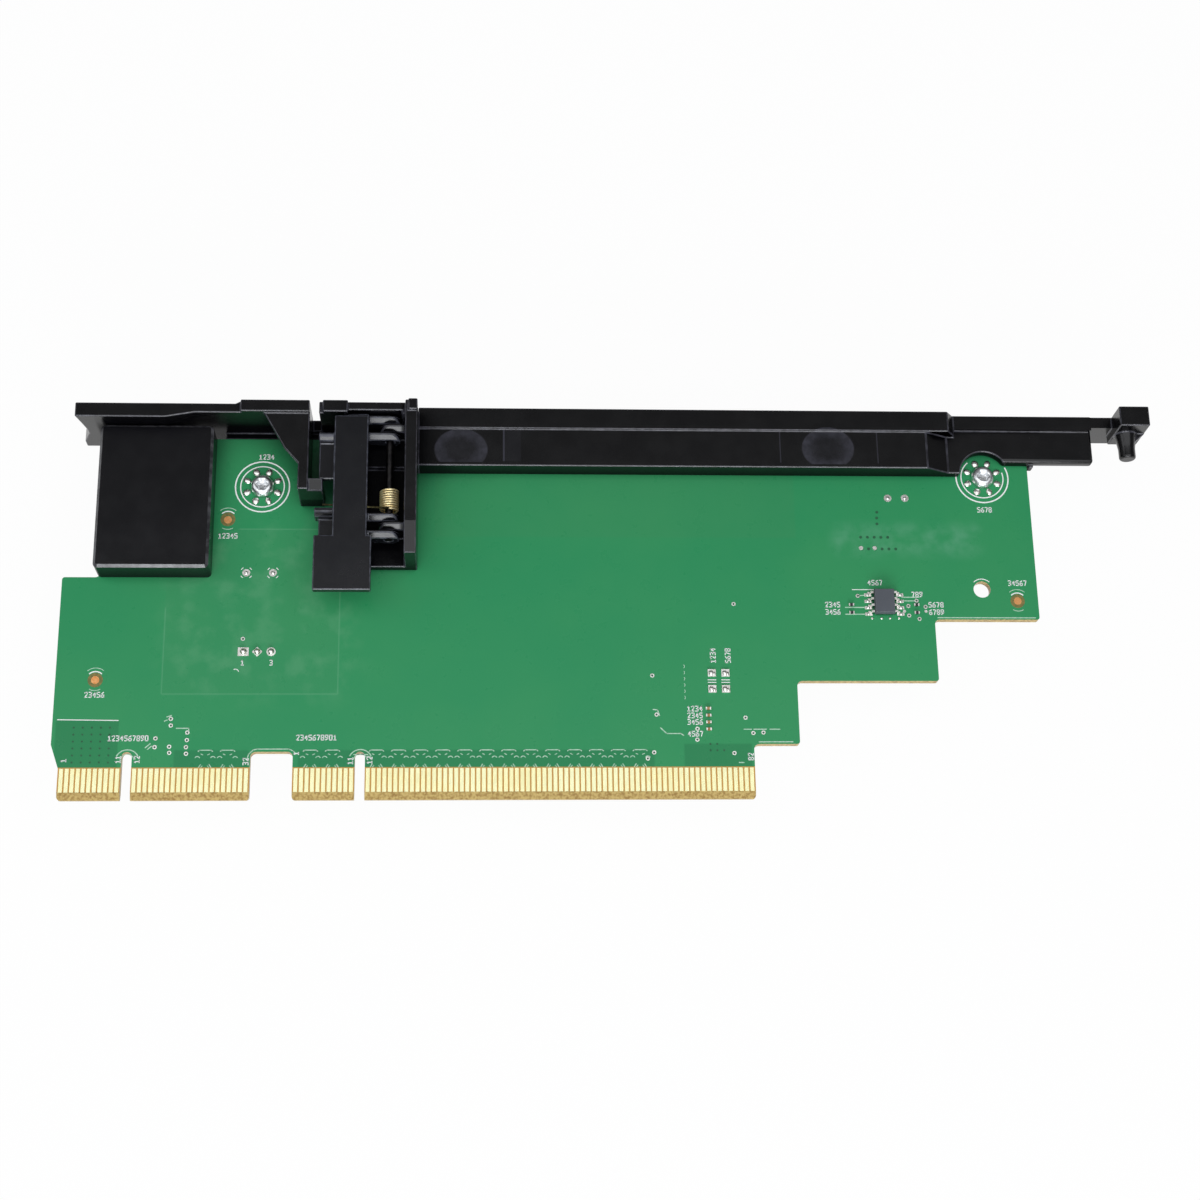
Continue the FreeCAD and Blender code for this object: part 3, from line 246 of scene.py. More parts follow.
def moulded(name, colour, worn_and_highlight_colour, roughness, specular, grain_depth, clear=(), scoops=(), lines=()):
    """Black plastic. A clear window is left, low, right, high and how far up it starts."""
    finish, shader = start_finish(name, colour, roughness, specular=specular)
    patches = fade(finish, clouds(finish, 9.0, 4.0), 0.35, 0.7)
    shade = blend(finish, patches, colour, tuple(c * 1.2 for c in colour[:3]) + (1.0,))
    specks = fade(finish, clouds(finish, 0.35, 2.0), 0.74, 0.82)
    shade = blend(finish, sums(finish, "MULTIPLY", specks, 0.2), shade, ink(92, 92, 95))
    # The edges marked worn are paler: partly wear, partly a painted highlight along the rims.
    worn = step(finish, "ShaderNodeAttribute", attribute_name="worn").outputs["Fac"]
    rubbed_and_highlight = sums(finish, "MULTIPLY", worn, fade(finish, clouds(finish, 1.6), 0.35, 0.65, 0.35, 1.0))
    shade = blend(finish, rubbed_and_highlight, shade, worn_and_highlight_colour)
    # Each scoop gets a pale ring: partly haze, partly a painted sheen where its dished rim would catch the
    # light.
    for x, y in scoops:
        far = oval(finish, places(finish), x, y + 0.3, SCOOP_WIDE, SCOOP_TALL)
        inner, outer = fade(finish, far, 0.4, 0.98, 0.25, 1.0), fade(finish, far, 1.0, 1.08, 1.0, 0.0)
        rim = sums(finish, "MULTIPLY", inner, outer)
        haze_and_sheen = sums(finish, "MULTIPLY", rim, fade(finish, clouds(finish, 1.2, 5.0), 0.3, 0.75, 0.4, 0.75))
        haze_and_sheen = sums(finish, "MULTIPLY", haze_and_sheen, patch(finish, places(finish), 60, BAR_LOW, 160, BAR_HIGH, 0.15))
        shade = blend(finish, haze_and_sheen, shade, ink(66, 66, 76))
    for x, wide, strong in lines:
        across = patch(finish, places(finish), x, BAR_LOW + 0.2, x + wide, MOULD_LINE_HIGH, 0.08)
        shade = blend(finish, sums(finish, "MULTIPLY", across, strong), shade, ink(60, 60, 70))
    feed(finish, shade, shader, "Base Color")
    dull = fade(finish, clouds(finish, 4.0, 5.0), 0.3, 0.75, roughness - 0.02, roughness + 0.03)
    feed(finish, dull, shader, "Roughness")
    if clear:
        spot = places(finish)
        near = step(finish, "ShaderNodeAmbientOcclusion", {"Distance": 0.009}, samples=6).outputs["AO"]
        clean = fade(finish, near, 0.6, 0.85)
        height = step(finish, "ShaderNodeSeparateXYZ", {0: spot}).outputs["Z"]
        for *window, low in clear:
            above = fade(finish, height, board_high.z + (low - 0.5) * MM, board_high.z + low * MM)
            inside = sums(finish, "MULTIPLY", above, patch(finish, spot, *window, 1.0))
            clean = sums(finish, "MAXIMUM", clean, inside)
        feed(finish, fade(finish, clean, 0.0, 1.0, 1.14, 1.5), shader, "IOR")
    skin = sums(finish, "ADD", clouds(finish, 0.22, 2.0), sums(finish, "MULTIPLY", clouds(finish, 2.5), 0.8))
    feed(finish, dents(finish, skin, grain_depth), shader, "Normal")
    return finish


bracket_black = moulded(
    "bracket_black", ink(5, 5, 7), ink(62, 62, 70), 0.24, 0.5, 0.003,
    (HINGE_WINDOW, LEFT_WINDOW, RIGHT_WINDOW), SCOOPS, MOULD_LINES,
)
lever_black = moulded("lever_black", ink(14, 15, 20), ink(80, 82, 92), 0.25, 0.5, 0.003)
cover_black = moulded("cover_black", ink(10, 10, 14), ink(84, 84, 88), 0.2, 0.5, 0.002, (NO_WINDOW,))
slot_black = moulded("slot_black", ink(20, 20, 22), ink(52, 52, 56), 0.4, 0.5, 0.01)
chip_grey = moulded("chip_grey", ink(84, 88, 95), ink(110, 112, 118), 0.55, 0.35, 0.012)


# %% [markdown]
# ## Metals
#
# A metal's colour is the colour of its reflections.
# Gold fingers are pale and smooth with fine wiping lines, tin is dull and lumpy,
# and wire keeps the lines of the die that it was drawn through.
# The spring's legs lie in the shade, so they get a darker, duller copy of the coil's finish: a painted shade.


# %% Metal finishes
def metal(name, colour, dark_colour, roughness, blotch, scratch_stretch, depth, metallic=1.0):
    """A metal with blotches this many millimetres wide and fine lines drawn out one way."""
    finish, shader = start_finish(name, colour, roughness, metallic)
    tone = fade(finish, clouds(finish, blotch, 4.0), 0.35, 0.72)
    feed(finish, blend(finish, tone, colour, dark_colour), shader, "Base Color")
    lines = clouds(finish, 0.25, 3.0, scratch_stretch)
    feed(finish, fade(finish, lines, 0.3, 0.7, roughness - 0.05, roughness + 0.1), shader, "Roughness")
    feed(finish, dents(finish, lines, depth), shader, "Normal")
    return finish


gold_plate = metal("gold_plate", (1.0, 0.99, 0.6, 1), (1.0, 0.95, 0.52, 1), 0.3, 6.0, (3, 0.15, 1), 0.002)
contact_gold = metal("contact_gold", (0.95, 0.75, 0.32, 1), (0.8, 0.56, 0.2, 1), 0.3, 2.0, (1, 1, 0.3), 0.003)
bare_copper = metal("bare_copper", ink(255, 190, 128), ink(240, 160, 92), 0.35, 0.8, (1, 1, 1), 0.004)
tin = metal("tin", ink(252, 250, 246), ink(226, 222, 214), 0.3, 0.7, (1, 1, 1), 0.008)
screw_zinc = metal("screw_zinc", ink(250, 252, 253), ink(216, 218, 222), 0.32, 0.8, (1, 1, 1), 0.004)
pin_steel = metal("pin_steel", ink(70, 68, 68), ink(40, 38, 40), 0.34, 1.5, (4, 0.3, 4), 0.004)
spring_brass = metal("spring_brass", ink(255, 240, 192), ink(240, 214, 152), 0.36, 0.8, (1, 1, 1), 0.0, 0.7)
# The legs' darker tone is painted shade.
spring_painted_shade = metal("spring_painted_shade", ink(104, 100, 70), ink(70, 66, 44), 0.45, 0.8, (1, 1, 1), 0.0)


# %% [markdown]
# ## The board
#
# The green is a lacquer over glass laminate. Where the blade cut the board, its sides
# show bare laminate in tan, so the finish looks at which way a face points.
# Between the fingers and on their ground tips the lacquer ends, and bare laminate shows too.


# %% Board finish
SEEN_THROUGH = (19.4, 19.9, 51.1, 51.8)
UNDER_COVER = (0.0, 37.0, 31.5, 60.0)
SMEAR = (24.0, 24.0, 50.0, 48.0)
HAZE = (146.0, 49.2, 171.0, 51.6)
UPPER_BAND = (69.0, 50.9, 137.0, 66.0)
LOW_COPPER = (0.8, 6.0, 11.8, 14.6)
COPPER_STRIPS = ((22.3, 6.0, 35.2, 8.9), (44.6, 6.0, 109.0, 8.9), (115.0, 6.0, 127.0, 10.0))
FINGERS_HIGH = 5.9
SHORT_FINGERS = (1.5, 36.0)
LONG_FINGERS = (43.4, 127.8)
lacquer, lacquer_shader = start_finish("green_lacquer", ink(46, 141, 88), 0.3, specular=0.25)
spot = places(lacquer)
weave = fade(lacquer, clouds(lacquer, 0.5, 4.0), 0.35, 0.7)
laminate = blend(lacquer, weave, ink(196, 170, 104), ink(150, 118, 60))
thickness = fade(lacquer, clouds(lacquer, 22.0, 3.0), 0.3, 0.75)
green = blend(lacquer, thickness, ink(45, 147, 93), ink(53, 150, 94))
window = patch(lacquer, spot, *SEEN_THROUGH, 0.45)
edge = sums(lacquer, "SUBTRACT", window, patch(lacquer, spot, *SEEN_THROUGH, 0.1))
edge = sums(lacquer, "SUBTRACT", edge, patch(lacquer, spot, *UNDER_COVER, 1.0))
smeared = fade(lacquer, clouds(lacquer, 4.5, 6.0), 0.45, 0.7)
smear = sums(lacquer, "MULTIPLY", patch(lacquer, spot, *SMEAR, 9.0), smeared)
hazed = fade(lacquer, clouds(lacquer, 3.5, 6.0), 0.3, 0.75)
haze = sums(lacquer, "MULTIPLY", patch(lacquer, spot, *HAZE, 3.5), hazed)
dark = patch(lacquer, spot, *LOW_COPPER, 0.3)
for corners in COPPER_STRIPS:
    dark = sums(lacquer, "MAXIMUM", dark, patch(lacquer, spot, *corners, 0.5))
band = patch(lacquer, spot, *UPPER_BAND, 0.5)
for share, strength, tone in (
    (band, 0.3, ink(62, 144, 92)),
    (window, 0.25, ink(66, 146, 96)),
    (dark, 0.42, ink(28, 112, 70)),
    (smear, 0.6, ink(84, 160, 112)),
    (edge, 0.35, ink(118, 186, 144)),
    (haze, 0.5, ink(104, 172, 136)),
):
    green = blend(lacquer, sums(lacquer, "MULTIPLY", share, strength), green, tone)
# Ambient occlusion darkens the green where parts stand close above it: a painted shade under the lever's foot
# and beside the walls.
occlusion_shade_share = step(lacquer, "ShaderNodeAmbientOcclusion", {"Distance": 0.018}, samples=8).outputs["AO"]
green = blend(lacquer, fade(lacquer, occlusion_shade_share, 0.15, 0.62, 0.85, 0.0), green, ink(14, 52, 34))
facing = step(lacquer, "ShaderNodeNewGeometry").outputs["Normal"]
facing = step(lacquer, "ShaderNodeSeparateXYZ", {0: facing}).outputs["Z"]
flat = step(lacquer, "ShaderNodeMath", {0: facing}, operation="ABSOLUTE").outputs[0]
side = fade(lacquer, flat, 0.7, 0.9, 1.0, 0.0)
fingers = patch(lacquer, spot, SHORT_FINGERS[0], -1.0, SHORT_FINGERS[1], FINGERS_HIGH, 0.1)
fingers_long = patch(lacquer, spot, LONG_FINGERS[0], -1.0, LONG_FINGERS[1], FINGERS_HIGH, 0.1)
bare = sums(lacquer, "MAXIMUM", side, sums(lacquer, "MAXIMUM", fingers, fingers_long))
above_tips = patch(lacquer, spot, SHORT_FINGERS[0], 1.5, LONG_FINGERS[1], FINGERS_HIGH, 0.1)
gaps = sums(lacquer, "MULTIPLY", sums(lacquer, "SUBTRACT", 1.0, side), above_tips)
laminate = blend(lacquer, gaps, laminate, ink(206, 156, 78))
feed(lacquer, blend(lacquer, bare, green, laminate), lacquer_shader, "Base Color")
feed(lacquer, fade(lacquer, clouds(lacquer, 3.0, 4.0), 0.3, 0.7, 0.27, 0.33), lacquer_shader, "Roughness")
feed(lacquer, dents(lacquer, clouds(lacquer, 0.5, 2.0), 0.002), lacquer_shader, "Normal")


# %% [markdown]
# ## Small electrical parts
#
# Chip parts have a ceramic or moulded body between two tinned caps.
# Their bodies are matt, with tiny pits and a slight change of tone from part to part.


# %% Ceramic finishes
def ceramic(name, colour, other, roughness):
    """A matt body whose tone wanders between two colours."""
    finish, shader = start_finish(name, colour, roughness)
    tone = fade(finish, clouds(finish, 0.5, 3.0), 0.35, 0.7)
    feed(finish, blend(finish, tone, colour, other), shader, "Base Color")
    dull = fade(finish, clouds(finish, 0.3), 0.3, 0.7, roughness - 0.08, roughness + 0.08)
    feed(finish, dull, shader, "Roughness")
    feed(finish, dents(finish, clouds(finish, 0.15, 2.0), 0.01), shader, "Normal")
    return finish


resistor_black = ceramic("resistor_black", ink(34, 34, 38), ink(52, 52, 56), 0.35)
capacitor_tan = ceramic("capacitor_tan", ink(176, 140, 92), ink(150, 112, 70), 0.5)
# The pale green of the trace edges is a painted highlight.
trace_highlight_green = ceramic("trace_highlight_green", ink(196, 226, 204), ink(160, 208, 178), 0.5)
# A dark green stands for the shade inside via holes: painted shade.
hole_shade_green = ceramic("hole_shade_green", ink(30, 100, 64), ink(24, 86, 54), 0.5)
bare_board = ceramic("bare_board", ink(140, 124, 66), ink(104, 108, 60), 0.5)
ink_white = ceramic("ink_white", ink(254, 255, 254), ink(244, 248, 244), 0.6)


# %% [markdown]
# ## Finishes go onto the CAD nodes
#
# A CAD node whose shape is right stays as it is and only gets its finish.


# %% Assign finishes
finish_of = {
    "board": lacquer,
    "short_edge_pads_gold": gold_plate,
    "long_edge_pads_gold": gold_plate,
    "bracket": bracket_black,
    "latch_lever": lever_black,
    "hinge_pin": pin_steel,
    "torsion_spring": spring_brass,
    "cover_block": cover_black,
    "left_screw": screw_zinc,
    "right_screw": screw_zinc,
    "left_screw_dots": tin,
    "right_screw_dots": tin,
    "reference_marks": bare_copper,
    "slot_housing": slot_black,
    "slot_contacts": contact_gold,
    "header_block": slot_black,
    "header_pins": contact_gold,
    "header_solder": tin,
    "chip_body": chip_grey,
    "chip_leads": tin,
    "resistors": resistor_black,
    "resistor_ends": tin,
    "capacitors": capacitor_tan,
    "capacitor_ends": tin,
    "spare_pads": tin,
}
for name, finish in finish_of.items():
    nodes[name].data.materials.clear()
    nodes[name].data.materials.append(finish)
print("nodes without a finish:", sorted(set(nodes) - set(finish_of)))


# %% [markdown]
# ## Rounded edges
#
# A mould never leaves a knife edge. The small round on each edge catches the light
# and draws the thin pale line that makes plastic look real.
# A bevel shader could fake it, but a true bevel also shows in the outline.
# The CAD mesh is loose triangles, so a copy is first merged into one skin.


# %% Softened copies
def new_piece(name, shape, finish, body="riser"):
    """Turns a finished bmesh into a piece that rides on a body."""
    skin = bpy.data.meshes.new(name)
    shape.to_mesh(skin)
    shape.free()
    piece = bpy.data.objects.new(name, skin)
    piece.data.materials.append(finish)
    bpy.context.scene.collection.objects.link(piece)
    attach(piece, body)
    print(name, "faces:", len(skin.polygons))
    return piece


SHARP_TURN = math.radians(28)
SHARP_NEAR = 0.5 * MM
THROWN_SHARE = 0.45


def rounded(shape, width, kept_sharp):
    """Rounds the sharp edges of a shape, but none beside a place that has to stay sharp."""
    worn = shape.faces.layers.float.new("worn")
    sharp = [e for e in shape.edges if len(e.link_faces) == 2 and e.calc_face_angle() > SHARP_TURN]
    sharp = [e for e in sharp if all((v.co - at).length > SHARP_NEAR for v in e.verts for at in kept_sharp)]
    made = bmesh.ops.bevel(
        shape, geom=sharp, offset=width, offset_type="OFFSET", segments=3, profile=0.5,
        affect="EDGES", clamp_overlap=False, material=-1,
    )
    # Faces marked worn get a paler tone: wear, and a painted highlight on the rim.
    for face in made["faces"]:
        face[worn] = 1.0


def softened(node, name, round_mm, body="riser"):
    """A merged copy of a CAD node with its sharp edges rounded and marked as worn, where the finish is paler
    with wear and a painted highlight.

    Where short edges meet, rounding can throw a corner out. The edges there stay sharp instead.
    """
    plain = bmesh.new()
    plain.from_mesh(nodes[node].data)
    bmesh.ops.remove_doubles(plain, verts=plain.verts, dist=0.002 * MM)
    bmesh.ops.dissolve_limit(plain, angle_limit=math.radians(0.6), verts=plain.verts, edges=plain.edges)
    skin = BVHTree.FromBMesh(plain)
    kept_sharp = []
    for attempt in range(4):
        shape = plain.copy()
        rounded(shape, round_mm * MM, kept_sharp)
        too_far = THROWN_SHARE * round_mm * MM
        thrown = {vert for vert in shape.verts if skin.find_nearest(vert.co)[3] > too_far}
        print(name, "pass", attempt + 1, "corners thrown out:", len(thrown))
        if not thrown:
            break
        beside = {edge.other_vert(vert) for vert in thrown for edge in vert.link_edges} - thrown
        kept_sharp += [vert.co.copy() for vert in beside]
    for vert in thrown:
        vert.co = skin.find_nearest(vert.co)[0]
    plain.free()
    piece = new_piece(name, shape, finish_of[node], body)
    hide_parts(node)
    return piece


softened("bracket", "bracket_moulding", 0.24)
softened("latch_lever", "latch_moulding", 0.24, "lever")
softened("slot_housing", "slot_moulding", 0.15)
softened("chip_body", "chip_moulding", 0.08)
softened("header_block", "header_moulding", 0.1)


# %% [markdown]
# ## The cover block
#
# The cover's upper rim is a flat slope rather than a round, and its corners are rounded.
# A box bevelled twice says the same: first its upright corners, then its upper rim.


# %% Cover block
low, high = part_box("cover_block")
shape = bmesh.new()
place = Matrix.Translation((low + high) / 2) @ Matrix.Diagonal((*(high - low), 1.0))
bmesh.ops.create_cube(shape, size=1.0, matrix=place)
worn = shape.faces.layers.float.new("worn")
upright = [edge for edge in shape.edges if abs(edge.verts[0].co.z - edge.verts[1].co.z) > MM]
bmesh.ops.bevel(
    shape, geom=upright, offset=0.8 * MM, offset_type="OFFSET", segments=4, profile=0.5,
    affect="EDGES", clamp_overlap=True, material=-1,
)
rim = [edge for edge in shape.edges if all(vert.co.z > high.z - 0.01 * MM for vert in edge.verts)]
sloped = bmesh.ops.bevel(
    shape, geom=rim, offset=0.5 * MM, offset_type="OFFSET", segments=1, profile=0.5,
    affect="EDGES", clamp_overlap=True, material=-1,
)
# The slope is marked worn, so its paler tone is wear and a painted highlight.
for face in sloped["faces"]:
    face[worn] = 1.0
cover = new_piece("cover_moulding", shape, cover_black)
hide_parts("cover_block")


# %% [markdown]
# ## The torsion spring
#
# A torsion spring is one wire: a leg, a tight row of turns, and another leg.
# A small circle is spun round the pin's axis while it creeps along it, which makes the coil.
# The coil and the short leg stay with the bracket. The long leg presses on the lever,
# so it is a piece of its own and swings with it.


# %% Spring coil and its lower leg
pin_low, pin_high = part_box("hinge_pin")
spring_low, spring_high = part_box("torsion_spring")
axis_x = (pin_low.x + pin_high.x) / 2
axis_z = (pin_low.z + pin_high.z) / 2
WIRE = 0.18
COIL = 1.66
TURNS = 8.25
PITCH = 0.47
TURN_STEPS = 28
RING = 12
COIL_PLACE = 1.0


def wire_ring(shape, centre, turn):
    """A small circle of wire, standing at a point with a given turn."""
    place = Matrix.Translation(centre) @ turn
    made = bmesh.ops.create_circle(shape, segments=RING, radius=WIRE * MM, cap_ends=False, matrix=place)
    return made["verts"]


def rim_edges(shape):
    """Edges on an open end of the wire."""
    return [edge for edge in shape.edges if len(edge.link_faces) == 1]


def wire_leg(name, start, end, body):
    """One straight leg: a ring of wire drawn out along a line and closed at both ends."""
    shape = bmesh.new()
    along = end - start
    turn = along.to_track_quat("Z", "Y").to_matrix().to_4x4()
    wire_ring(shape, start, turn)
    grown = bmesh.ops.extrude_edge_only(shape, edges=list(shape.edges))["geom"]
    far_end = [item for item in grown if isinstance(item, bmesh.types.BMVert)]
    bmesh.ops.translate(shape, vec=along, verts=far_end)
    bmesh.ops.holes_fill(shape, edges=rim_edges(shape), sides=RING)
    bmesh.ops.recalc_face_normals(shape, faces=shape.faces)
    for face in shape.faces:
        face.smooth = len(face.verts) == 4
    leg = new_piece(name, shape, spring_painted_shade, body)
    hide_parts("torsion_spring")


shape = bmesh.new()
coil_start = Vector((axis_x, spring_low.y + COIL_PLACE * MM, axis_z + COIL * MM))
rim = wire_ring(shape, coil_start, Matrix.Rotation(math.radians(90), 4, "Y"))
bmesh.ops.spin(
    shape, geom=rim + list(shape.edges), cent=(axis_x, 0, axis_z), axis=(0, 1, 0),
    dvec=(0, PITCH * MM / TURN_STEPS, 0), angle=2 * math.pi * TURNS, steps=round(TURN_STEPS * TURNS),
)
bmesh.ops.holes_fill(shape, edges=rim_edges(shape), sides=RING)
bmesh.ops.recalc_face_normals(shape, faces=shape.faces)
for face in shape.faces:
    face.smooth = len(face.verts) == 4
coil = new_piece("spring_coil", shape, spring_brass)
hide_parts("torsion_spring")


# %% Spring legs
coil_end = Vector((axis_x + COIL * MM, coil_start.y + PITCH * MM * TURNS, axis_z))
lower_tip = Vector((coil_end.x, coil_end.y + WIRE * MM, spring_low.z + WIRE * MM))
upper_tip = Vector((spring_low.x + WIRE * MM, coil_start.y + 0.4 * MM, spring_high.z - 0.25 * MM))
wire_leg("spring_lower_leg", coil_end, lower_tip, "riser")
wire_leg("spring_upper_leg", coil_start, upper_tip, "lever")


# %% [markdown]
# ## Screws
#
# Each screw is a turned part, so half its outline is spun round its axis.
# The star drive is pressed in after turning. Six waves in the inner rings do the same here.


# %% Turned parts and the two screws
def new_vert(shape, place):
    """One vertex at a place."""
    return bmesh.ops.create_vert(shape, co=place)["vert"][0]


def turned(shape, centre, profile, steps):
    """Spins an outline, given as radius and height in millimetres, into a closed solid."""
    rim = [new_vert(shape, centre + Vector((out * MM, 0, up * MM))) for out, up in profile]
    line = [shape.edges.new(pair) for pair in zip(rim, rim[1:])]
    bmesh.ops.spin(
        shape, geom=rim + line, cent=centre, axis=(0, 0, 1), angle=2 * math.pi, steps=steps, use_merge=True,
    )
    bmesh.ops.remove_doubles(shape, verts=shape.verts, dist=0.0005 * MM)
    bmesh.ops.recalc_face_normals(shape, faces=shape.faces)


SCREW = [
    (0, -0.75), (0.62, -0.75), (0.82, -0.7), (0.96, -0.1), (1.06, -0.02), (1.3, 0), (1.62, -0.09),
    (1.9, -0.32), (2.07, -0.66), (2.15, -1.05), (2.15, -1.5), (1.2, -1.5), (1.2, -5.9), (0.95, -6.5),
    (0, -6.5),
]
STAR_ARMS = 6
STAR_DEEP = 0.14
for name in ("left_screw", "right_screw"):
    low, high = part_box(name)
    top = Vector(((low.x + high.x) / 2, (low.y + high.y) / 2, high.z))
    shape = bmesh.new()
    turned(shape, top, SCREW, 48)
    for vert in shape.verts:
        flat = Vector((vert.co.x - top.x, vert.co.y - top.y))
        if 0.5 * MM < flat.length < 1.2 * MM and vert.co.z > top.z - 1.0 * MM:
            wave = 1 + STAR_DEEP * math.cos(STAR_ARMS * math.atan2(flat.y, flat.x))
            vert.co.x = top.x + flat.x * wave
            vert.co.y = top.y + flat.y * wave
    for face in shape.faces:
        face.smooth = True
    screw = new_piece(name + "_head", shape, screw_zinc)
    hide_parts(name)


# %% [markdown]
# ## Solder
#
# Molten tin pulls itself into low domes, so each joint is a cap of a ball pressed flat.
# Eight of them lie round each screw, drawn out towards it.


# %% Solder domes
DOTS = 8
DOTS_OUT = 3.1


def dome(shape, x, y, long, wide, high, turn=0.0):
    """A low dome on the board. The part below the surface is left sunk in it."""
    place = Matrix.Translation(on_board(x, y)) @ Matrix.Rotation(math.radians(turn), 4, "Z")
    place = place @ Matrix.Diagonal((long / 2 * MM, wide / 2 * MM, high * MM, 1.0))
    bmesh.ops.create_uvsphere(shape, u_segments=10, v_segments=6, radius=1.0, matrix=place)


def tinned(name, shape, node=None):
    """Finishes a shape as smooth solder."""
    for face in shape.faces:
        face.smooth = True
    piece = new_piece(name, shape, tin)
    if node:
        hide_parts(node)


for name in ("left_screw", "right_screw"):
    low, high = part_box(name)
    x = ((low.x + high.x) / 2 - board_low.x) / MM
    y = ((low.y + high.y) / 2 - board_low.y) / MM
    shape = bmesh.new()
    for count in range(DOTS):
        turn = (count + 0.5) * 360 / DOTS
        away = Vector((math.cos(math.radians(turn)), math.sin(math.radians(turn)))) * DOTS_OUT
        dome(shape, x + away.x, y + away.y, 1.6, 1.2 + 0.12 * (count % 3), 0.3, turn)
    tinned(name + "_solder", shape, name + "_dots")


# %% [markdown]
# ## Drawing on the board
#
# Print and traces are thin raised lines. They could be a picture on the surface,
# but lines with a real width and height stay sharp from any distance.
# A straight run is a flat strip, and a bow is a short edge spun about its centre.
# At the end every flat face is drawn up by a hair, which closes it.


# %% Strips, bows, rings and spots
def strip(shape, start, end, width):
    """A flat strip between two places on the board."""
    start, end = on_board(*start), on_board(*end)
    along = end - start
    place = Matrix.Translation((start + end) / 2) @ Matrix.Rotation(math.atan2(along.y, along.x), 4, "Z")
    place = place @ Matrix.Diagonal((along.length + 0.6 * width * MM, width * MM, 1.0, 1.0))
    bmesh.ops.create_grid(shape, x_segments=1, y_segments=1, size=0.5, matrix=place)


def path(shape, points, width):
    """Strips from place to place."""
    for start, end in zip(points, points[1:]):
        strip(shape, start, end, width)


def bow(shape, x, y, radius, start, end, width, steps=8):
    """Part of a ring, from one angle to another in degrees."""
    centre = on_board(x, y)
    out = Vector((math.cos(math.radians(start)), math.sin(math.radians(start)), 0)) * MM
    rim = [new_vert(shape, centre + out * (radius + side * width)) for side in (-0.5, 0.5)]
    edge = shape.edges.new(rim)
    bmesh.ops.spin(
        shape, geom=rim + [edge], cent=centre, axis=(0, 0, 1), angle=math.radians(end - start),
        steps=steps, use_merge=end - start >= 360,
    )


def ring(shape, x, y, radius, width, steps=14):
    """A whole flat ring."""
    bow(shape, x, y, radius, 0, 360, width, steps)


def disc(shape, x, y, radius, steps=12):
    """A flat round spot."""
    place = Matrix.Translation(on_board(x, y))
    bmesh.ops.create_circle(shape, segments=steps, radius=radius * MM, cap_ends=True, matrix=place)


def printed(name, shape, finish, high):
    """Raises all flat faces a little, so each becomes a closed thin line."""
    bmesh.ops.recalc_face_normals(shape, faces=shape.faces)
    kept = bmesh.ops.extrude_face_region(shape, geom=list(shape.faces), use_keep_orig=True)["geom"]
    tops = [item for item in kept if isinstance(item, bmesh.types.BMVert)]
    bmesh.ops.translate(shape, vec=(0, 0, high * MM), verts=tops)
    bmesh.ops.recalc_face_normals(shape, faces=shape.faces)
    return new_piece(name, shape, finish)


# %% [markdown]
# The print is bows, lines and plain numbers. The upright ones at the card edges count the pads.
# A plotting pen would draw them, so each figure is a short list of pen strokes.


# %% Figures
PEN = {
    "1": [[(0.15, 1.5), (0.55, 2), (0.55, 0)], [(0.1, 0), (1, 0)]],
    "2": [[(0, 1.7), (0.3, 2), (1, 2), (1, 1.2), (0, 0), (1, 0)]],
    "3": [[(0, 2), (1, 2), (1, 0), (0, 0)], [(0.3, 1), (1, 1)]],
    "4": [[(0.8, 0), (0.8, 2), (0, 0.7), (1.1, 0.7)]],
    "5": [[(1, 2), (0, 2), (0, 1.1), (1, 1.1), (1, 0), (0, 0)]],
    "6": [[(0.9, 2), (0, 1.4), (0, 0), (1, 0), (1, 1), (0, 1)]],
    "7": [[(0, 2), (1, 2), (0.4, 0)]],
    "8": [[(0, 0), (1, 0), (1, 2), (0, 2), (0, 0)], [(0, 1), (1, 1)]],
    "9": [[(0.1, 0), (1, 0.6), (1, 2), (0, 2), (0, 1), (1, 1)]],
    "0": [[(0, 0), (1, 0), (1, 2), (0, 2), (0, 0)]],
}


def figures(shape, text, x, y, tall=0.92, turn=0.0, width=0.17):
    """A number centred on a place of the board."""
    size = tall / 2
    lean = Matrix.Rotation(math.radians(turn), 2)
    for place, sign in enumerate(text):
        shift = (place - (len(text) - 1) / 2) * 1.62 - 0.5
        for line in PEN[sign]:
            spots = [lean @ Vector(((shift + across) * size, (up - 1) * size)) for across, up in line]
            path(shape, [(x + spot.x, y + spot.y) for spot in spots], width)


# %% White print
MARKS = ((30.0, 53.9), (179.0, 38.1), (7.2, 22.4))
TEST_JOINTS = ((33.81, 43.26), (38.74, 43.28), (155.36, 58.88), (158.68, 58.9))
TEST_RINGS_UP = 43.26
SPARE_PLACES = (120.3, 122.84)
SCREW_RINGS = ((36.22, 60.52, 0, 360, 0, 360), (174.02, 63.17, 122, 386, 130, 376))
LEVEL_FIGURES = (
    ("1234", 36.8, 66.6), ("5678", 174.0, 56.6), ("12345", 30.1, 50.6), ("23456", 7.2, 19.6),
    ("34567", 179.2, 41.7), ("4567", 151.9, 41.7), ("2345", 143.6, 37.3), ("3456", 143.6, 35.85),
    ("5678", 163.3, 37.3), ("6789", 163.3, 35.85), ("789", 159.8, 39.35), ("1234", 116.9, 16.95),
    ("2345", 116.9, 15.65), ("3456", 116.9, 14.4), ("4567", 116.9, 12.15), ("1", 33.7, 25.75),
    ("3", 38.95, 25.75), ("1234567890", 13.7, 11.4), ("2345678901", 47.6, 11.5),
)
UPRIGHT_FIGURES = (
    ("1", 2.4, 7.2), ("11", 12.1, 7.4), ("12", 15.5, 7.4), ("32", 35.0, 7.0), ("1", 44.0, 8.5),
    ("11", 53.8, 7.1), ("12", 57.3, 7.2), ("82", 127.0, 7.8), ("1234", 120.6, 27.2), ("5678", 123.4, 27.2),
)
shape = bmesh.new()
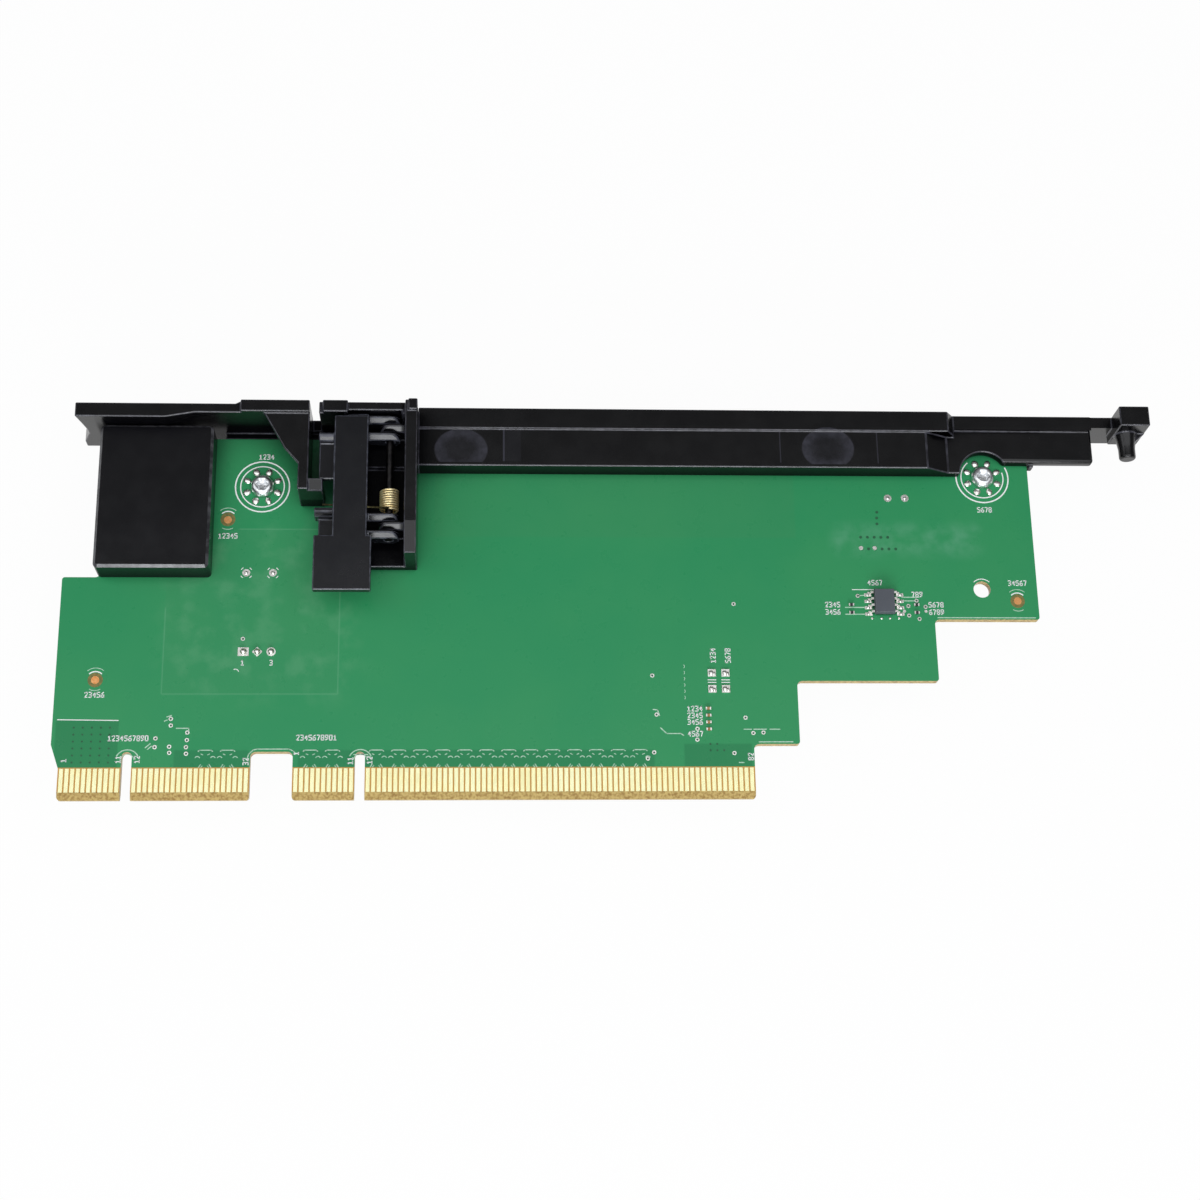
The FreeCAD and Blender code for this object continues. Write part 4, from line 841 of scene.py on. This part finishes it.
for x, y, start, end, inner_start, inner_end in SCREW_RINGS:
    bow(shape, x, y, 5.07, start, end, 0.26, 40)
    bow(shape, x, y, 4.1, inner_start, inner_end, 0.22, 36)
for x, y in MARKS:
    bow(shape, x, y, 1.62, 45, 135, 0.22)
for text, x, y in LEVEL_FIGURES:
    figures(shape, text, x, y)
for text, x, y in UPRIGHT_FIGURES:
    figures(shape, text, x, y, turn=90)
strip(shape, (0.9, 14.9), (11.8, 14.75), 0.16)
strip(shape, (147.5, 40.3), (151.7, 40.3), 0.14)
bow(shape, 32.5, 23.9, 0.6, 10, 120, 0.14)
bow(shape, 172.35, 40.4, 2.1, 45, 135, 0.16)
for joint in TEST_JOINTS[:2]:
    for turn in (45, 135, 225, 315):
        bow(shape, joint[0], TEST_RINGS_UP, 1.15, turn - 14, turn + 14, 0.14, 3)
for x in SPARE_PLACES:
    for y in (22.0, 22.5):
        strip(shape, (x - 0.75, y), (x + 0.75, y), 0.16)
printed("white_print", shape, ink_white, 0.025)


# %% [markdown]
# ## Traces and vias
#
# Copper under the lacquer lifts it a little, and its edges catch the light: the pale lines are a painted
# highlight of these edges.
# The fine pattern over the fingers repeats at every pair of lines:
# a dash, two small bows under it, and a narrow V down to the pads.


# %% Traces over the fingers
PAIR_PLACES = [27.7, 31.7, 46.6, 50.6] + [58.55 + 4.006 * count for count in range(13)]
LONE_TRACES = (
    [(35.15, 7.3), (35.5, 8.4), (36.3, 9.2), (37.0, 9.35), (42.7, 9.35), (43.5, 9.0), (44.0, 8.4)],
    [(20.48, 15.4), (21.32, 15.67)], [(20.05, 14.6), (20.6, 14.83)],
    [(22.28, 13.27), (24.53, 13.27), (24.55, 12.74)],
    [(16.88, 9.61), (17.76, 10.4)], [(17.27, 9.3), (18.0, 9.92)],
    [(109.19, 16.8), (110.0, 16.7), (110.38, 15.62)],
    [(110.49, 13.28), (111.6, 12.2), (114.21, 12.2), (114.72, 11.84)], [(124.78, 6.69), (125.69, 6.69)],
    [(125.89, 13.0), (127.29, 13.0)], [(127.72, 13.0), (130.04, 13.0)], [(130.7, 13.0), (132.58, 13.0)],
    [(156.9, 38.8), (160.19, 38.8)], [(157.33, 38.08), (159.2, 38.08)], [(148.48, 39.05), (149.82, 39.2)],
    [(163.5, 34.75), (182.2, 34.75)], [(128.6, 10.6), (134.9, 10.6)], [(54.4, 8.3), (57.0, 8.3)],
    [(146.0, 36.75), (149.6, 36.75)], [(146.0, 35.4), (149.6, 35.4)],
)
KEY_PLACES = (13.75, 55.65)
shape = bmesh.new()
for x in PAIR_PLACES:
    path(shape, [(x - 1.3, 8.93), (x - 1.05, 9.15), (x + 1.05, 9.15), (x + 1.3, 8.93)], 0.18)
    for side in (-1, 1):
        strip(shape, (x + side * 0.78, 8.45), (x + side * 0.42, 8.28), 0.14)
        bow(shape, x + side * 1.4, 7.55, 0.45, 20, 160, 0.16, 4)
        strip(shape, (x + side * 1.12, 5.95), (x + side * 0.76, 6.5), 0.15)
        strip(shape, (x + side * 0.7, 5.95), (x + side * 0.45, 6.25), 0.13)
for points in LONE_TRACES:
    path(shape, points, 0.19)
for x in KEY_PLACES:
    bow(shape, x, 7.1, 2.15, 25, 155, 0.2, 10)
    bow(shape, x, 7.1, 1.3, 10, 170, 0.14, 10)
for x, y in MARKS:
    bow(shape, x, y, 2.3, 50, 130, 0.13)
    bow(shape, x, y, 2.0, 240, 300, 0.13)
for count in range(6):
    bow(shape, 114.9, 19.1 + 1.2 * count, 0.35, -60, 60, 0.12, 4)
printed("trace_edges", shape, trace_highlight_green, 0.02)


# %% Vias
VIAS = (
    (21.22, 15.05), (21.28, 13.8), (24.31, 12.47), (24.29, 11.06), (24.18, 9.73), (24.24, 8.5), (21.17, 9.82),
    (21.23, 8.68), (18.65, 11.37), (18.56, 9.74), (117.29, 13.1), (117.22, 11.03), (126.28, 15.21),
    (127.61, 12.28), (129.49, 12.37), (123.97, 8.47), (109.2, 8.63), (108.01, 7.47), (109.19, 23.32),
    (124.86, 37.37), (148.48, 39.05), (158.03, 37.06), (161.29, 36.89), (158.05, 35.16), (159.99, 34.49),
    (159.63, 38.14), (109.82, 15.81), (33.65, 30.35),
)
COVERED_ROWS = ((149.7, 50.87, 5), (149.8, 48.5, 6))
COVERED_COLUMN = ((153.0, 53.6), (153.0, 54.8), (153.1, 56.0))
shape = bmesh.new()
for x, y in VIAS:
    ring(shape, x, y, 0.3, 0.2, 10)
for x, y in TEST_JOINTS:
    ring(shape, x, y, 0.55, 0.4)
printed("via_rings", shape, tin, 0.02)
shape = bmesh.new()
for x, y in MARKS:
    ring(shape, x, y, 1.08, 0.6, 20)
printed("mark_openings", shape, bare_board, 0.012)
# The dark spots in the via holes are painted shade.
shape = bmesh.new()
for x, y in VIAS:
    disc(shape, x, y, 0.2, 8)
for column in range(5):
    for row in range(6):
        disc(shape, 3.9 + 1.62 * column, 6.9 + 1.3 * row, 0.2, 8)
for x, y, count in COVERED_ROWS:
    for number in range(count):
        disc(shape, x + 1.3 * number, y, 0.3, 8)
for x, y in COVERED_COLUMN:
    disc(shape, x, y, 0.3, 8)
for number in range(5):
    disc(shape, 119.6 + 1.25 * (number % 3), 9.0 + 1.2 * (number // 3), 0.2, 8)
printed("via_holes", shape, hole_shade_green, 0.021)


# %% [markdown]
# ## Larger joints
#
# The pin header's pads are a square, a diamond and a round one, each with a low dome of tin.
# The chip's leads end in small pads with solder drawn up their toes.


# %% Header, chip and test joints
HEADER_PLACES = (33.81, 36.35, 38.89)
HEADER_LEVEL = 27.85
LEAD_LEVELS = [35.42 + 1.27 * count for count in range(4)]
LEFT_TOES = (149.9, 150.9)
RIGHT_TOES = (156.0, 157.0)
shape = bmesh.new()
strip(shape, (33.3, HEADER_LEVEL), (34.3, HEADER_LEVEL), 1.65)
place = Matrix.Translation(on_board(HEADER_PLACES[1], HEADER_LEVEL))
place = place @ Matrix.Rotation(math.radians(45), 4, "Z") @ Matrix.Scale(1.35 * MM, 4)
bmesh.ops.create_grid(shape, x_segments=1, y_segments=1, size=0.5, matrix=place)
disc(shape, HEADER_PLACES[2], HEADER_LEVEL, 0.85, 16)
for y in LEAD_LEVELS:
    for start, end in (LEFT_TOES, RIGHT_TOES):
        strip(shape, (start, y), (end, y), 0.62)
for x in (157.2, 161.3):
    disc(shape, x, 36.0, 0.3)
for x, y in ((149.64, 48.67), (152.27, 48.68)):
    disc(shape, x, y, 0.42)
printed("tinned_pads", shape, tin, 0.04)
pin_tip = (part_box("header_pins")[1].z - board_high.z) / MM
print("header pins stand out", round(pin_tip, 2), "mm")
shape = bmesh.new()
for x in HEADER_PLACES:
    dome(shape, x, HEADER_LEVEL, 1.35, 1.35, pin_tip + 0.15)
for y in LEAD_LEVELS:
    for x in (150.35, 156.55):
        dome(shape, x, y, 0.8, 0.55, 0.25)
for x in (151.0, 152.8, 154.4, 156.1):
    dome(shape, x, 34.6, 0.6, 0.45, 0.15)
for x, y in TEST_JOINTS:
    dome(shape, x, y, 0.75, 0.75, 0.25)
for x in SPARE_PLACES:
    for y in (20.71, 23.79):
        dome(shape, x - 0.15, y, 1.1, 1.2, 0.5, 30)
        dome(shape, x + 0.4, y - 0.15, 0.6, 0.9, 0.45, -20)
tinned("solder_domes", shape, "header_solder")


# %% [markdown]
# ## Stage and light
#
# A plain pale floor, a dim even sky and a wide lamp overhead give the soft studio light.
# A small lamp high on the left adds soft shadows, and a low one in front is what
# the sloped ribs of the bracket mirror.
# The floor looks white to the camera and keeps a faint shadow of the object.


# %% Floor
floor_shape = bmesh.new()
bmesh.ops.create_grid(floor_shape, x_segments=1, y_segments=1, size=2.0)
floor_skin = bpy.data.meshes.new("floor")
floor_shape.to_mesh(floor_skin)
floor_shape.free()
floor = bpy.data.objects.new("floor", floor_skin)
floor.location.z = cad_box[0].z - 0.0002
bpy.context.scene.collection.objects.link(floor)
paper, paper_shader = start_finish("paper", (0.9, 0.9, 0.9, 1), 0.9, specular=0.0)
rays = step(paper, "ShaderNodeLightPath").outputs
seen = sums(paper, "MAXIMUM", rays["Is Glossy Ray"], rays["Is Transmission Ray"])
seen = sums(paper, "MAXIMUM", rays["Is Camera Ray"], seen)
glow = step(paper, "ShaderNodeEmission", {"Color": (1.0, 1.0, 1.0, 1.0), "Strength": 1.0}).outputs[0]
white = sums(paper, "MULTIPLY", seen, 0.96)
mixed = step(paper, "ShaderNodeMixShader", {0: white, 1: paper_shader.outputs[0], 2: glow})
paper.node_tree.links.new(mixed.outputs[0], paper.node_tree.nodes["Material Output"].inputs["Surface"])
floor_skin.materials.append(paper)


# %% Lamps and sky
sky = bpy.data.worlds.new("sky")
sky.use_nodes = True
sky.node_tree.nodes["Background"].inputs["Color"].default_value = (1.0, 1.0, 1.0, 1)
sky.node_tree.nodes["Background"].inputs["Strength"].default_value = 0.15
bpy.context.scene.world = sky


def lamp(name, place, aim, width, depth, brightness):
    """A soft flat lamp of an even brightness, where 1 is as bright as white paper."""
    light = bpy.data.lights.new(name, "AREA")
    light.shape = "RECTANGLE"
    light.size = width
    light.size_y = depth
    light.color = (0.95, 0.97, 1.0)
    light.energy = brightness * math.pi * width * depth
    stand = bpy.data.objects.new(name, light)
    stand.location = place
    stand.rotation_euler = (Vector(aim) - Vector(place)).to_track_quat("-Z", "Y").to_euler()
    bpy.context.scene.collection.objects.link(stand)
    print(name, "watts:", round(light.energy, 2))


lamp("ceiling", (0.0, -0.45, 1.0), (0.0, -0.45, 0.0), 1.5, 1.45, 1.38)
lamp("front_low", (0.04, -0.66, 0.28), (0.0, 0.0, 0.0), 0.6, 0.2, 8.0)
lamp("left_high", (-0.75, 0.1, 0.6), (0.0, 0.0, 0.0), 0.4, 0.4, 1.6)


# %% [markdown]
# ## Measure and finish
#
# The look must not outgrow the CAD model, so the CAD model's box is printed.


# %% Finish
bpy.context.scene.view_settings.view_transform = "Standard"
print("CAD box:", [tuple(round(v, 4) for v in c) for c in cad_box])
